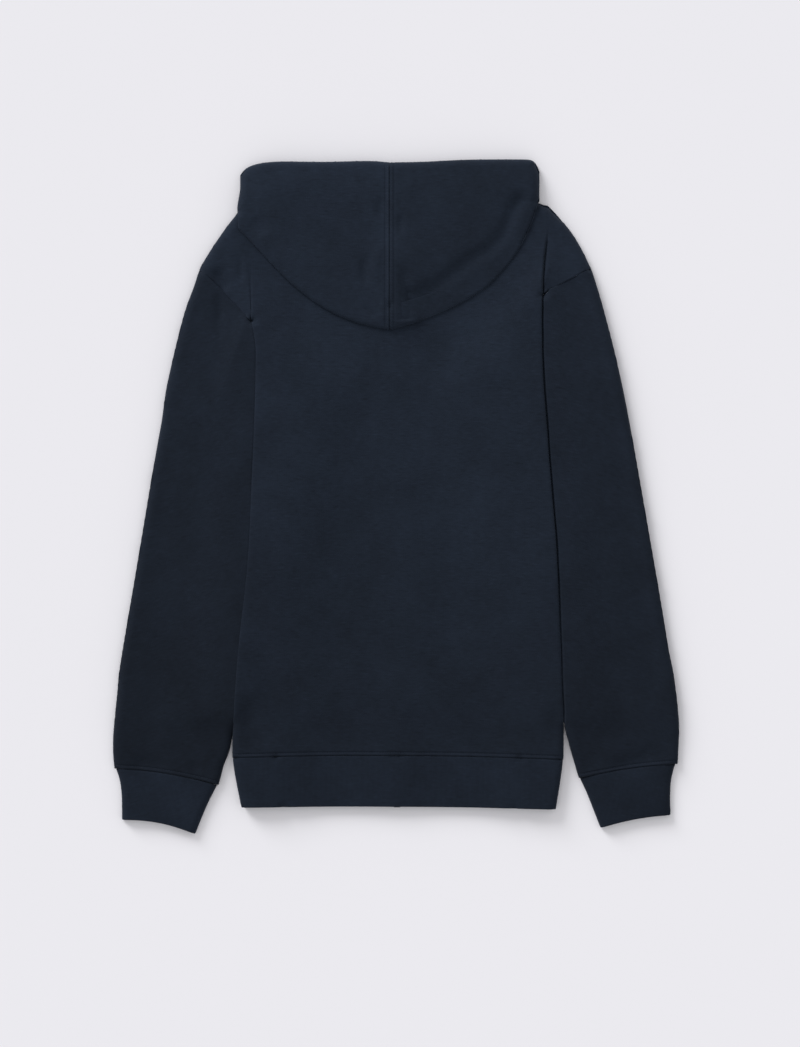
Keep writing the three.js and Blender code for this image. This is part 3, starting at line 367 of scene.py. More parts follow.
class Line:
    """A run of points in plan."""

    def __init__(self, points):
        self.points = np.array([(p[0], p[1]) for p in points], float)
        self.steps = np.diff(self.points, axis=0)
        self.lengths = np.linalg.norm(self.steps, axis=1)
        self.runs = np.concatenate([[0], np.cumsum(self.lengths)])

    @property
    def length(self):
        return self.runs[-1]

    def read(self, places):
        """For each place: its distance from the line and the share of the line's length at the
        nearest point."""
        nearest = np.full(len(places), np.inf)
        share = np.zeros(len(places))
        for start, step, long, run in zip(self.points, self.steps, self.lengths, self.runs):
            away = places - start
            along = np.clip(away @ step / long ** 2, 0, 1)
            gap = np.linalg.norm(away - along[:, None] * step, axis=1)
            closer = gap < nearest
            nearest[closer] = gap[closer]
            share[closer] = ((run + along * long) / self.length)[closer]
        return nearest, share

    def at(self, run):
        """The place and the direction at a distance along the line."""
        k = int(np.clip(np.searchsorted(self.runs, run) - 1, 0, len(self.lengths) - 1))
        direction = self.steps[k] / self.lengths[k]
        return self.points[k] + direction * (run - self.runs[k]), direction

    def beside(self, distance):
        """The line moved sideways, to its left."""
        slopes = np.gradient(self.points, axis=0)
        slopes /= np.linalg.norm(slopes, axis=1)[:, None]
        return Line(self.points + distance * np.column_stack([-slopes[:, 1], slopes[:, 0]]))

# ---- Panels ----------------------------------------------------------------------------------

RIM_ANGLE = radians(75)  # the edges of a wall's rims are sharper than any bend in it


def rejoin_quads(bm):
    """Puts each grid cell's two triangles together again. A cell was cut along its longer
    diagonal, so that is the longest edge of both, apart from the wall's rims."""
    rims = {e for e in bm.edges if e.calc_face_angle() > RIM_ANGLE}

    def longest(face):
        inner = [e for e in face.edges if e not in rims]
        return max(inner, key=lambda e: e.calc_length(), default=None)

    diagonals = [e for e in bm.edges if all(longest(f) == e for f in e.link_faces)]
    bmesh.ops.dissolve_edges(bm, edges=diagonals, use_verts=False, use_face_split=False)
    while True:
        rims = {e for e in rims if e.is_valid}
        lone = [[e for e in f.edges if e not in rims and all(len(x.verts) == 3 for x in e.link_faces)]
                for f in bm.faces if len(f.verts) == 3]
        found = next((edges[0] for edges in lone if len(edges) == 1), None)
        if found is None:
            return
        bmesh.ops.dissolve_edges(bm, edges=[found], use_verts=False, use_face_split=False)


def to_mesh(bm, name):
    mesh = bpy.data.meshes.new(name)
    bm.to_mesh(mesh)
    bm.free()
    for layer in [a.name for a in mesh.attributes if a.name == "custom_normal"]:
        mesh.attributes.remove(mesh.attributes[layer])
    while mesh.uv_layers:
        mesh.uv_layers.remove(mesh.uv_layers[0])
    return mesh


def subdivided(mesh, levels):
    """The mesh after a Subdivision Surface, which keeps its creased edges."""
    holder = bpy.data.objects.new("holder", mesh)
    bpy.context.scene.collection.objects.link(holder)
    modifier = holder.modifiers.new("Smooth", "SUBSURF")
    modifier.levels = modifier.render_levels = levels
    found = holder.evaluated_get(bpy.context.evaluated_depsgraph_get())
    made = bpy.data.meshes.new_from_object(found)
    bpy.data.objects.remove(holder)
    return made


@cache
def smooth_form(node):
    """A CAD panel's form as a smooth closed wall with crisp rims."""
    bm = bmesh.new()
    bm.from_mesh(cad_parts[node].data)
    bmesh.ops.remove_doubles(bm, verts=bm.verts, dist=MM / 1000)
    rejoin_quads(bm)
    crease = bm.edges.layers.float.new("crease_edge")
    for edge in bm.edges:
        edge[crease] = 1.0 if edge.calc_face_angle() > RIM_ANGLE else 0.0
    return subdivided(to_mesh(bm, node), 2)


def ring_from(edge):
    """The edges that face each other across quads, from one edge both ways."""
    ring, seen = [edge], {edge}
    for face in edge.link_faces:
        here = edge
        while len(face.verts) == 4:
            across = next(e for e in face.edges if not set(e.verts) & set(here.verts))
            if across in seen:
                break
            ring.append(across)
            seen.add(across)
            beyond = [f for f in across.link_faces if f is not face]
            if not beyond:
                break
            face, here = beyond[0], across
    return ring


SEWN_REACH = 2.2 * MM
RING_SAMPLES = 9
FINE_REACH = 7.5 * MM
FINE_STEP = 1.4 * MM
SLACK = 0.15  # a cell may be longer than the spacing by this share


def shares_of(edge, spacing, seams):
    """How many spacings an edge holds. Across a seam, and near it, the spacing is finer."""
    start, end = (v.co for v in edge.verts)
    long = (end - start).length
    middle = np.array([((start + end) / 2)[:2]])
    for seam in seams:
        gap, share = seam.read(middle)
        if gap[0] < FINE_REACH:
            tangent = seam.at(share[0] * seam.length)[1]
            if abs(tangent @ np.array((end - start)[:2])) < 0.5 * long:
                return long / FINE_STEP
    return long / spacing


def cut_evenly(bm, spacing, seams):
    """Cuts each ring of edges into parts about as long as the spacing. The rings are found in the
    mesh's own order, so that each run cuts them alike."""
    done, wanted = set(), []
    for edge in bm.edges:
        if edge in done:
            continue
        ring = ring_from(edge)
        done.update(ring)
        sample = ring[::max(1, len(ring) // RING_SAMPLES)]
        shares = np.mean([shares_of(e, spacing, seams) for e in sample])
        if shares > 1 + SLACK:
            wanted.append((ring[0], ceil(shares - SLACK) - 1))
    for edge, cuts in wanted:
        if edge.is_valid:
            bmesh.ops.subdivide_edges(bm, edges=ring_from(edge), cuts=cuts, use_grid_fill=True)


def even_mesh(node, spacing, fine, sewn):
    """A CAD panel's form, smooth and evenly cut, finer beside some seams. Its rims stay crisp
    where they are sewn, and are rounded elsewhere."""
    bm = bmesh.new()
    bm.from_mesh(smooth_form(node))
    cut_evenly(bm, 2 * spacing * COARSER, fine)
    crease = bm.edges.layers.float["crease_edge"]
    for edge in bm.edges:
        edge[crease] = 0
        if edge.calc_face_angle() > RIM_ANGLE:
            middle = np.array([v.co[:2] for v in edge.verts]).mean(axis=0)[None]
            edge[crease] = any(seam.read(middle)[0][0] < SEWN_REACH for seam in sewn)
    return subdivided(to_mesh(bm, node), 1)


def places_of(mesh):
    flat = np.empty(len(mesh.vertices) * 3)
    mesh.vertices.foreach_get("co", flat)
    return flat.reshape(-1, 3)


def tree_of(mesh):
    return BVHTree.FromPolygons(places_of(mesh).tolist(), [list(p.vertices) for p in mesh.polygons])


UP, DOWN = Vector((0, 0, 1)), Vector((0, 0, -1))
ABOVE, BELOW = 0.1, -0.1  # clear of the garment
PLY_BLEND = 0.6 * MM


def top_share(mesh, places, thickness):
    """1 on a panel's upper ply and 0 on the plies under it, and the panel's height there."""
    tree = tree_of(mesh)
    heights = places[:, 2].copy()
    for k, (x, y, z) in enumerate(places):
        hit = tree.ray_cast(Vector((x, y, ABOVE)), DOWN)[0]
        if hit:
            heights[k] = max(hit.z, z)
    return 1 - smoothstep(thickness, thickness + PLY_BLEND, heights - places[:, 2]), heights


# ---- Seams -----------------------------------------------------------------------------------

SEAM_REACH = 1.3 * MM


def meeting(node, other, step, reach=SEAM_REACH, keep=lambda v: True):
    """The line where one panel meets another, with a point for each step along X."""
    tree = tree_of(smooth_form(other))
    found = np.array([v[:2] for v in places_of(smooth_form(node))
                      if keep(v) and tree.find_nearest(Vector(v), reach)[0]])
    bins = np.round(found[:, 0] / step)
    return Line([found[bins == k].mean(axis=0) for k in np.unique(bins)])


@cache
def seams():
    """The garment's seams in plan, read from where its panels meet."""
    middle = (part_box("hood_left")[1].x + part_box("hood_right")[0].x) / 2
    low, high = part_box("hood_right")[0].y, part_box("hood_right")[1].y
    return {
        "hem": meeting("back", "hem_band", 10 * MM),
        "cuff_left": meeting("sleeve_left", "cuff_left", 6 * MM),
        "cuff_right": meeting("sleeve_right", "cuff_right", 6 * MM),
        "armhole_left": meeting("back", "sleeve_left", 7 * MM, 2 * MM,
                                lambda v: v[1] > 200 * MM and v[0] < -166 * MM),
        "armhole_right": meeting("back", "sleeve_right", 7 * MM, 2 * MM,
                                 lambda v: v[1] > 231 * MM and v[0] > 172 * MM),
        "hood": Line([(middle, low), (middle, (low + high) / 2), (middle, high)]),
    }


# ---- Lifts and creases -----------------------------------------------------------------------

OUTLINE_NODES = ("back", "sleeve_left", "sleeve_right", "cuff_left", "cuff_right", "hem_band",
                 "hood_left", "hood_right")
OUTLINE_STEPS = 6
CLEAR_SIDE = 1.5 * MM


OPEN_ENDS = ("hem_band", "cuff_left", "cuff_right")
OPEN_END_TURN = -0.7  # how far down an open end's rim faces, in plan
LEVEL, LEAST_TURN = 1e-4, 1e-3  # parts of a normal that count as none


def side_edges(mesh):
    """Where a form turns from facing up to facing down: points on those edges, with the way out."""
    normals = np.array([p.normal for p in mesh.polygons])
    faces = {}
    for k, polygon in enumerate(mesh.polygons):
        for key in polygon.edge_keys:
            faces.setdefault(key, []).append(k)
    places = places_of(mesh)
    found = []
    for (a, b), (f, g) in faces.items():
        if (normals[f, 2] > LEVEL) != (normals[g, 2] > LEVEL):
            out = (normals[f] + normals[g])[:2]
            long = np.linalg.norm(out)
            if long > LEAST_TURN:
                for share in np.arange(OUTLINE_STEPS) / OUTLINE_STEPS:
                    found.append((places[a] * (1 - share) + places[b] * share, out / long))
    return found


def tree_in_plan(places):
    tree = kdtree.KDTree(len(places))
    for k, place in enumerate(places):
        tree.insert((place[0], place[1], 0), k)
    tree.balance()
    return tree


@cache
def outline():
    """The garment's folded and sewn outline in plan, as a tree of points, and the way out at each.
    The open ends of its tubes are left out."""
    trees = [tree_of(smooth_form(node)) for node in OUTLINE_NODES]
    found = []
    for node in OUTLINE_NODES:
        for place, out in side_edges(smooth_form(node)):
            if node in OPEN_ENDS and out[1] < OPEN_END_TURN:
                continue
            x, y = place[:2] + CLEAR_SIDE * out
            if not any(tree.ray_cast(Vector((x, y, ABOVE)), DOWN)[0] for tree in trees):
                found.append((place, out))
    return tree_in_plan([place for place, out in found]), np.array([out for place, out in found])


FOLD_TOPS = {-1: 202 * MM, 1: 233 * MM}  # for the wearer's left and right
FOLD_ROW = 8 * MM  # from one of a fold's points to the next
BESIDE_FOLD = 4 * MM


@cache
def side_folds():
    """The two side folds of the back: for each, its points' Y, X and the back's height beside
    them, and where the fold ends."""
    places, tree = places_of(smooth_form("back")), tree_of(smooth_form("back"))
    folds = {}
    for out, top in FOLD_TOPS.items():
        side = places[(places[:, 1] < top) & (places[:, 0] * out > 0)]
        rows = np.round(side[:, 1] / FOLD_ROW).astype(int)
        found = []
        for row in np.unique(rows):
            here = side[rows == row]
            x, y = here[np.argmax(here[:, 0] * out)][:2]
            met = tree.ray_cast(Vector((x - out * BESIDE_FOLD, y, ABOVE)), DOWN)[0]
            if met:
                found.append((y, x, met.z))
        folds[out] = (np.array(found), top)
    return folds


def bulge(share):
    """Round profile of a soft edge: steep at first, then level."""
    return np.sqrt(1 - (1 - np.clip(share, 0, 1)) ** 2)


RIM_FLAT = 0.5 * MM  # points this near the outline count as on it
BAND_RUN = (8 * MM, 70 * MM)  # from a band's seam: the lift is the band's, and then the body's
BAND_TOP_Y = -310 * MM  # all that lies lower is band
SETTLE_END = 60 * MM  # from the outline to where the cloth has settled


def puff(places):
    """How far the air inside lifts the cloth at each place."""
    cloth = bpy.context.scene.hoodie_cloth
    tree = outline()[0]
    gap = np.array([tree.find((x, y, 0))[2] for x, y in places[:, :2]])
    gap = np.maximum(gap - RIM_FLAT, 0)
    bands = np.maximum.reduce([
        1 - smoothstep(*BAND_RUN, seams()[name].read(places[:, :2])[0])
        for name in ("hem", "cuff_left", "cuff_right")])
    bands[places[:, 1] < BAND_TOP_Y] = 1
    height = cloth.puff + (cloth.band_puff - cloth.puff) * bands
    settled = cloth.settle * smoothstep(cloth.puff_run, SETTLE_END, gap)
    return height * bulge(gap / cloth.puff_run) - settled


CROWN_SHARE = {-1: 0.5, 1: 1.0}  # the wearer's left fold is the flatter one
CROWN_OPENS = (-30 * MM, 35 * MM)  # from a fold's top: where the crown no longer sinks beside it


def crown(places):
    """How far the back rises away from its side folds."""
    cloth = bpy.context.scene.hoodie_cloth
    lift = np.full(len(places), cloth.crown)
    for out, (fold, top) in side_folds().items():
        gap = (np.interp(places[:, 1], fold[:, 0], fold[:, 1]) - places[:, 0]) * out
        opened = smoothstep(*CROWN_OPENS, places[:, 1] - top)
        near = 1 - bulge(gap / cloth.crown_run)
        lift -= CROWN_SHARE[out] * cloth.crown * near * (1 - opened)
    return lift


# Beside the wearer's right fold a narrow slit stays open; at the left the sleeve closes it.
NESTLE_STARTS = {-1: (-3.5 * MM, -1.0 * MM), 1: (1.4 * MM, 2.4 * MM)}
NESTLE_UNDER = {-1: 0.25 * MM, 1: 0.6 * MM}
NESTLE = {"falls": 6 * MM, "ends": 100 * MM, "low": 3.8 * MM, "hem": (-278 * MM, -245 * MM),
          "top": -11 * MM, "top_run": (22 * MM, 110 * MM), "wide": (6 * MM, 50 * MM),
          "corner": 4 * MM}


def nestled(places, top_z, out):
    """How far a sleeve swells up beside the back's fold, so that it lies against it."""
    fold, top = side_folds()[out]
    gap = (places[:, 0] - np.interp(places[:, 1], fold[:, 0], fold[:, 1])) * out
    beside = np.interp(places[:, 1], fold[:, 0], fold[:, 2]) - NESTLE_UNDER[out]
    wanted = beside + (NESTLE["low"] - beside) * smoothstep(NESTLE["falls"], NESTLE["ends"], gap)
    run = NESTLE["top_run"][0] + NESTLE["top_run"][1] * smoothstep(*NESTLE["wide"], gap)
    along = smoothstep(*NESTLE["hem"], places[:, 1]) \
        * smoothstep(0, 1, (top - NESTLE["top"] - places[:, 1]) / run)
    at_top = NESTLE["corner"] * np.exp(-((places[:, 1] - top) / NESTLE["corner"]) ** 2)
    return np.maximum(wanted - top_z, 0) * smoothstep(*NESTLE_STARTS[out], gap + at_top) * along


@cache
def hood_edge():
    """The hood's lower edge in plan, where it lies on the back, as a tree of points."""
    hood = [tree_of(smooth_form(node)) for node in ("hood_left", "hood_right")]
    back = tree_of(smooth_form("back"))
    found = []
    for node in ("hood_left", "hood_right"):
        for place, out in side_edges(smooth_form(node)):
            x, y = place[:2] + CLEAR_SIDE * out
            met = [tree.ray_cast(Vector((x, y, ABOVE)), DOWN)[0] for tree in (*hood, back)]
            if met[2] and not met[0] and not met[1]:
                found.append(place)
    return tree_in_plan(found)


ROLL = {"edge": 0.7 * MM, "turn": 3.0 * MM, "turn_run": 4 * MM, "slope": 0.34,
        "ends": (2 * MM, 14 * MM)}


def rolled(places):
    """How far the hood's plies sink along its lower edge, which rolls down onto the back."""
    hood = [tree_of(smooth_form(node)) for node in ("hood_left", "hood_right")]
    back, edge, around = tree_of(smooth_form("back")), hood_edge(), outline()[0]
    sunk = np.zeros(len(places))
    kept = np.ones(len(places))
    for k, (x, y, z) in enumerate(places):
        above = Vector((x, y, ABOVE))
        base = back.ray_cast(above, DOWN)[0]
        tops = [met.z for met in (tree.ray_cast(above, DOWN)[0] for tree in hood) if met]
        if not base or z < base.z:
            continue
        gap = edge.find((x, y, 0))[2]
        room = ROLL["edge"] + ROLL["slope"] * gap + ROLL["turn"] * bulge(gap / ROLL["turn_run"])
        share = room / max(max(tops, default=z) - base.z, ROLL["edge"])
        ends = smoothstep(*ROLL["ends"], around.find((x, y, 0))[2])
        kept[k] = 1 - (1 - share / (1 + share ** 4) ** 0.25) * ends
        sunk[k] = (z - base.z) * (1 - kept[k])
    return sunk, kept


EDGE_REACH = 7 * MM
# A closed rim goes a little past the seam, under the other panel. Away from the outline the
# closing fades over the seam's ends, given as a share of its length.
SEAM_FILL = {"reach": 4 * MM, "ends": 0.05, "outline": (2 * MM, 8 * MM), "past": 0.7 * MM}


def filled_out(places, seams_closed, fill):
    """Moves the outline out by what smoothing took off it, and the rims of seams together."""
    tree, ways = outline()
    moves = np.zeros((len(places), 2))
    inside = np.zeros(len(places))
    for k, (x, y) in enumerate(places[:, :2]):
        _, nearest, gap = tree.find((x, y, 0))
        inside[k] = smoothstep(*SEAM_FILL["outline"], gap)
        if gap < EDGE_REACH:
            moves[k] = ways[nearest] * fill * (1 - gap / EDGE_REACH)
    for seam, by in seams_closed:
        gap, share = seam.read(places[:, :2])
        near = gap < SEAM_FILL["reach"]
        feet = np.array([seam.at(s * seam.length)[0] for s in share[near]])
        if len(feet):
            away = feet - places[near, :2]
            at_end = 1 - smoothstep(0, SEAM_FILL["ends"], np.minimum(share, 1 - share)[near])
            fade = by * (1 - gap[near] / SEAM_FILL["reach"]) * (1 - inside[near] * at_end)
            moves[near] += away / np.maximum(gap[near], 1e-6)[:, None] \
                * np.minimum(fade, gap[near] + SEAM_FILL["past"])[:, None]
    return moves


class Crease:
    """A soft ridge, or a trough where its height is below zero, that fades out at its ends."""

    def __init__(self, points, width, height, fades=(0.25, 0.25)):
        self.line = Line(rounded(np.array(points, float)) * MM) if not isinstance(points, Line) \
            else points
        self.width, self.height, self.fades = width * MM, height * MM, fades

    def lift(self, places):
        gap, share = self.line.read(places)
        fade = np.ones(len(places))
        if self.fades[0]:
            fade *= smoothstep(0, self.fades[0], share)
        if self.fades[1]:
            fade *= smoothstep(0, self.fades[1], 1 - share)
        return self.height * np.exp(-((gap / self.width) ** 2)) * fade


# Where the cloth was pulled aside as it was laid: the run that moved, how far it and its
# neighbourhood reach, how far it moved, its fades, and which way, in mm.
SHIFTS = [
    (Crease([(-163, 205), (-166, 93), (-170, -12), (-174, -91), (-181, -190)], 30, 4.4, (0.1, 0.35)),
     (1, 0)),
    (Crease([(172, 285), (170, 153), (182, 9), (188, -92), (194, -265)], 30, 1.2, (0.1, 0.1)), (-1, 0)),
    (Crease([(174, 95), (182, 20), (186, -50)], 30, 1.1, (0.4, 0.4)), (-1, 0)),
    (Crease([(-222, 245), (-248, 170), (-268, 80)], 36, 2.4, (0.25, 0.3)), (-1, 0.1)),
    (Crease([(176, 318), (205, 285), (228, 245)], 30, 0.7, (0.2, 0.3)), (-0.8, -0.6)),
    (Crease([(-186, 330), (-196, 305), (-220, 258)], 22, 1.0, (0.1, 0.5)), (1, -0.2)),
    (Crease([(-262, -300), (-262, -350)], 46, 1.3, (0.5, 0)), (1, 0)),
    (Crease([(-322, -200), (-324, -280)], 26, 1.1, (0.4, 0.4)), (1, 0)),
    (Crease([(318, -170), (322, -240), (322, -295)], 30, 1.8, (0.3, 0.3)), (1, 0)),
]
HOOD_SHIFTS = [
    (Crease([(-9, 392), (-9, 300), (-9, 186)], 26, 2.7, (0, 0)), (1, 0)),
    (Crease([(-186, 392), (-187, 330)], 22, 3.4, (0, 0.4)), (1, 0.1)),
    (Crease([(166, 380), (166, 330)], 22, 1.1, (0, 0.3)), (1, 0)),
]
BACK_SHIFTS = [
    (Crease([(176, 332), (180, 314), (184, 306)], 14, 3.6, (0, 0.4)), (-0.6, -0.8)),
]
SLEEVE_SHIFTS = [
    (Crease([(-188, -225), (-192, -258), (-197, -288), (-201, -312)], 10, 3.0, (0.3, 0.25)), (1, 0)),
]


def shifted(places, shifts=()):
    """Places in plan, moved as the laid cloth was."""
    moves = [np.outer(run.lift(places), way) for run, way in [*SHIFTS, *shifts]]
    return places + sum(moves)


# Each crease: its points, its half width, its height and the shares over which it fades, in mm.
HOOD_CREASES = [
    Crease([(152, 350), (136, 330), (127, 307), (111, 286), (88, 272), (63, 253), (40, 238),
            (8, 226)], 9, -4.4, (0.08, 0.05)),
    Crease([(154, 318), (136, 294), (120, 273), (97, 259), (72, 240), (49, 225), (16, 212)],
           12, -2.8, (0.3, 0.05)),
    Crease([(150, 290), (129, 260), (107, 244), (83, 226), (59, 211), (26, 200)], 13, -2.4, (0.35, 0.05)),
    Crease([(7, 272), (10, 240), (11, 200)], 9, -3.4, (0.35, 0.05)),
    Crease([(-20, 288), (-24, 265), (-21, 240)], 5, 1.6, (0.35, 0.4)),
    Crease([(-33, 280), (-37, 259), (-31, 238)], 5, -2.2, (0.4, 0.4)),
    Crease([(-17, 228), (-16, 212), (-14, 199)], 4, 1.3, (0.4, 0.3)),
    Crease([(-38, 222), (-29, 210), (-22, 203)], 3.5, -1.5, (0.4, 0.4)),
    Crease([(-18, 348), (-20, 330), (-18, 312)], 4.5, -1.9, (0.4, 0.4)),
    Crease([(2, 326), (4, 312), (2, 298)], 5, -1.9, (0.4, 0.4)),
    Crease([(-166, 322), (-158, 311), (-146, 298)], 9, -2.4, (0.4, 0.4)),
    Crease([(-150, 366), (-104, 361), (-60, 366)], 16, 0.7, (0.4, 0.4)),
    Crease([(-140, 330), (-102, 305), (-70, 262)], 18, -0.7, (0.4, 0.4)),
    Crease([(20, 350), (62, 322), (84, 300)], 15, 0.7, (0.4, 0.4)),
]
FOLD_ABOVE = Crease([(175.5, 303), (172, 276), (170.5, 252), (170, 236)], 1.2, -4.2, (0.3, 0))
BODY_CREASES = [
    FOLD_ABOVE,
    Crease([(171, 233), (172.5, 234.5)], 3.2, 4.3, (0, 0)),
    Crease([(-167, 202.5), (-168.5, 204)], 3.2, 3.6, (0, 0)),
    Crease([(-178, 284), (-178, 262), (-177, 240)], 4, -0.9, (0.4, 0.4)),
    Crease([(-206, 264), (-201, 248), (-192, 236)], 8, -3.8, (0.3, 0.2)),
    Crease([(-171, -222), (-167, -250), (-160, -276)], 12, -3.2, (0.5, 0.5)),
    Crease([(-150, -190), (-150, -250), (-146, -292)], 20, -2.0, (0.5, 0.2)),
    Crease([(181, -230), (183, -255), (184, -285)], 8, -1.4, (0.4, 0.4)),
    Crease([(188, -60), (192, -140), (194, -240), (190, -292)], 22, -3.2, (0.5, 0.1)),
    Crease([(100, -272), (140, -276), (178, -288)], 8, -0.8, (0.4, 0.4)),
    Crease([(-120, 120), (-118, 20), (-112, -120), (-108, -240)], 22, 0.5),
    Crease([(60, 160), (86, 60), (96, -60), (90, -190)], 26, -0.4),
    Crease([(-60, 150), (-40, 20), (-52, -150)], 30, 0.4),
    Crease([(120, 150), (140, 90), (152, 10)], 16, -0.4),
]
LEFT_SLEEVE_CREASES = [
    Crease([(-204, 240), (-202, 224), (-200, 204), (-199, 172)], 5.5, -2.0, (0.3, 0.6)),
    Crease([(-182, 214), (-175, 196), (-172, 160)], 7, -1.2, (0.3, 0.5)),
    Crease([(-250, 150), (-245, 60), (-258, -40)], 18, 0.5),
    Crease([(-210, 60), (-225, -60), (-238, -160)], 15, -0.45),
    Crease([(-238, -305), (-228, -312), (-220, -314)], 5, -0.9, (0.4, 0.4)),
    Crease([(-268, -290), (-262, -262), (-262, -230)], 12, 0.7, (0.2, 0.5)),
]
RIGHT_SLEEVE_CREASES = [
    Crease([(203, 270), (201, 258), (200, 246)], 3, -0.5, (0.4, 0.4)),
    Crease([(240, 160), (246, 60), (262, -40)], 18, 0.5),
    Crease([(214, 40), (228, -70), (246, -180)], 15, -0.45),
    Crease([(288, -296), (276, -270), (270, -240)], 12, 0.7, (0.2, 0.5)),
]
# Each sleeve sinks toward the seam of its cuff, and the cuff with it.
CUFF_CREASES = {
    "left": Crease([(-308, -304), (-286, -308), (-258, -314)], 10, -2.6, (0.35, 0.4)),
    "right": Crease([(236, -318), (262, -309), (284, -303), (306, -300)], 11, -3.4, (0.35, 0.35)),
}
# The fronts lie face down on the floor, so their creases only rise.
FRONT_CREASES = [
    Crease([(side * a, b) for a, b in points], width, height)
    for side in (-1, 1)
    for points, width, height in (
        ([(30, -250), (46, -120), (40, 10)], 12, 1.0),
        ([(84, -200), (70, -80), (88, 60)], 10, 0.8),
        ([(34, 60), (48, 150), (40, 220)], 9, 0.9),
    )
]


TURNING = 0.38  # where the turnings' ridge runs, as a share of the way to the top stitches


def seam_creases(line, margin=0.0, side=1, height=1.0):
    """A sewn seam: a groove, the turnings' ridge beside it and the top stitches' shallow groove."""
    made = [Crease(line, 1.0, -0.9 * height, (0, 0))]
    if margin:
        made.append(Crease(line.beside(side * margin * TURNING), 1.2, 0.5 * height, (0, 0)))
        made.append(Crease(line.beside(side * margin), 1.0, -0.8 * height, (0, 0)))
    return made


def ripples(places, height):
    """Shallow unevenness: broad waves with smaller ones on them."""
    size = (90 * MM, 34 * MM)
    return height * np.array([
        noise.noise(Vector((x / size[0], y / size[0], 3))) +
        0.35 * noise.noise(Vector((x / size[1], y / size[1], 7))) for x, y in places[:, :2]])


# ---- Pieces ----------------------------------------------------------------------------------

FLEECE = 1.6 * MM  # how thick the cloth is
BAND = 1.8 * MM
FOLDED_SKIN = 0.5 * MM  # what counts as the top of the hidden layers' solid
# From the middle of one face to the next, on each piece.
SPACING = {"back": 4.4 * MM, "front": 7 * MM, "sleeve": 4.8 * MM, "cuff": 2.9 * MM,
           "hem_band": 4 * MM, "hood": 2.3 * MM, "hood_folds": 4 * MM, "hood_edge": 3 * MM,
           "zip_tape": 4 * MM}
ZIP_X = 2 * MM
CLEAR_OF_ZIP = (3 * MM, 20 * MM)  # from the zip: where a front's creases start and are whole
TUCKED_BAND = {"low": (3.9 * MM, 4.5 * MM), "high": 6.4 * MM}  # heights of the band's tucked ply
OFF_FLOOR = (1 * MM, 3.4 * MM)  # heights over which a ply of the hood is free of the floor
HOOD_GROOVE, HOOD_ROW = 5 * MM, 2.6 * MM  # from the hood's seam to its groove and its stitches


def finished_piece(name, mesh, material, body, slot, *nodes):
    mesh.name = name
    mesh.materials.clear()
    mesh.materials.append(material)
    mesh.shade_smooth()
    piece = bpy.data.objects.new(name, mesh)
    bpy.context.scene.collection.objects.link(piece)
    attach(piece, body)
    if nodes:
        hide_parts(*nodes)
    return piece


def lifted_piece(node, name, material, slot, spacing, lift, fine=(), sewn=(), fill=0.5 * MM,
                 shifts=()):
    """A panel's finished piece. lift gives the rise of each point of its mesh. sewn holds the
    panel's seams with how far its rim moves to close each."""
    mesh = even_mesh(node, spacing, fine, [seam for seam, by in sewn])
    places = places_of(mesh)
    places[:, 2] += lift(mesh, places)
    places[:, :2] += filled_out(places, sewn, fill)
    places[:, :2] = shifted(places[:, :2], shifts)
    mesh.vertices.foreach_set("co", places.ravel())
    mesh.update()
    return finished_piece(name, mesh, materials()[material], "garment", slot, node)


def creased(places, creases):
    return sum((c.lift(places[:, :2]) for c in creases), np.zeros(len(places)))


class HOODIE_OT_back(bpy.types.Operator):
    """The back panel, with its sides tucked under"""

    bl_idname = "hoodie.back"
    bl_label = "Back"

    def execute(self, context):
        cloth, margin = context.scene.hoodie_cloth, context.scene.hoodie_sewing.margin
        lines = seams()
        marks = BODY_CREASES + seam_creases(lines["hem"], margin, 1)
        marks += seam_creases(lines["armhole_left"], 0, 1, 0.3)

        def lift(mesh, places):
            top = top_share(mesh, places, FLEECE)[0]
            return puff(places) + top * (crown(places) + creased(places, marks)
                                         + ripples(places, cloth.ripple))

        sewn = [(lines[name], 0.05 * MM) for name in ("hem", "armhole_left", "armhole_right")]
        piece = lifted_piece("back", "back_cloth", "fleece", "fleece", SPACING["back"], lift,
                             [lines["hem"], FOLD_ABOVE.line], sewn, shifts=BACK_SHIFTS)
        return {"FINISHED"}


class HOODIE_OT_fronts(bpy.types.Operator):
    """The two fronts, face down on the floor"""

    bl_idname = "hoodie.fronts"
    bl_label = "Fronts"

    def execute(self, context):
        for side, area in (("left", 0.1437), ("right", 0.1469)):
            def lift(mesh, places):
                clear = smoothstep(*CLEAR_OF_ZIP, np.abs(places[:, 0] - ZIP_X))
                return creased(places, FRONT_CREASES) * clear

            node = f"front_{side}"
            piece = lifted_piece(node, f"{node}_cloth", "fleece", "fleece", SPACING["front"], lift)
        return {"FINISHED"}


SPRING = {-1: 0.5 * MM, 1: 1.9 * MM}  # how far each sleeve's outer fold springs off the floor
SPRING_RUN = 22 * MM


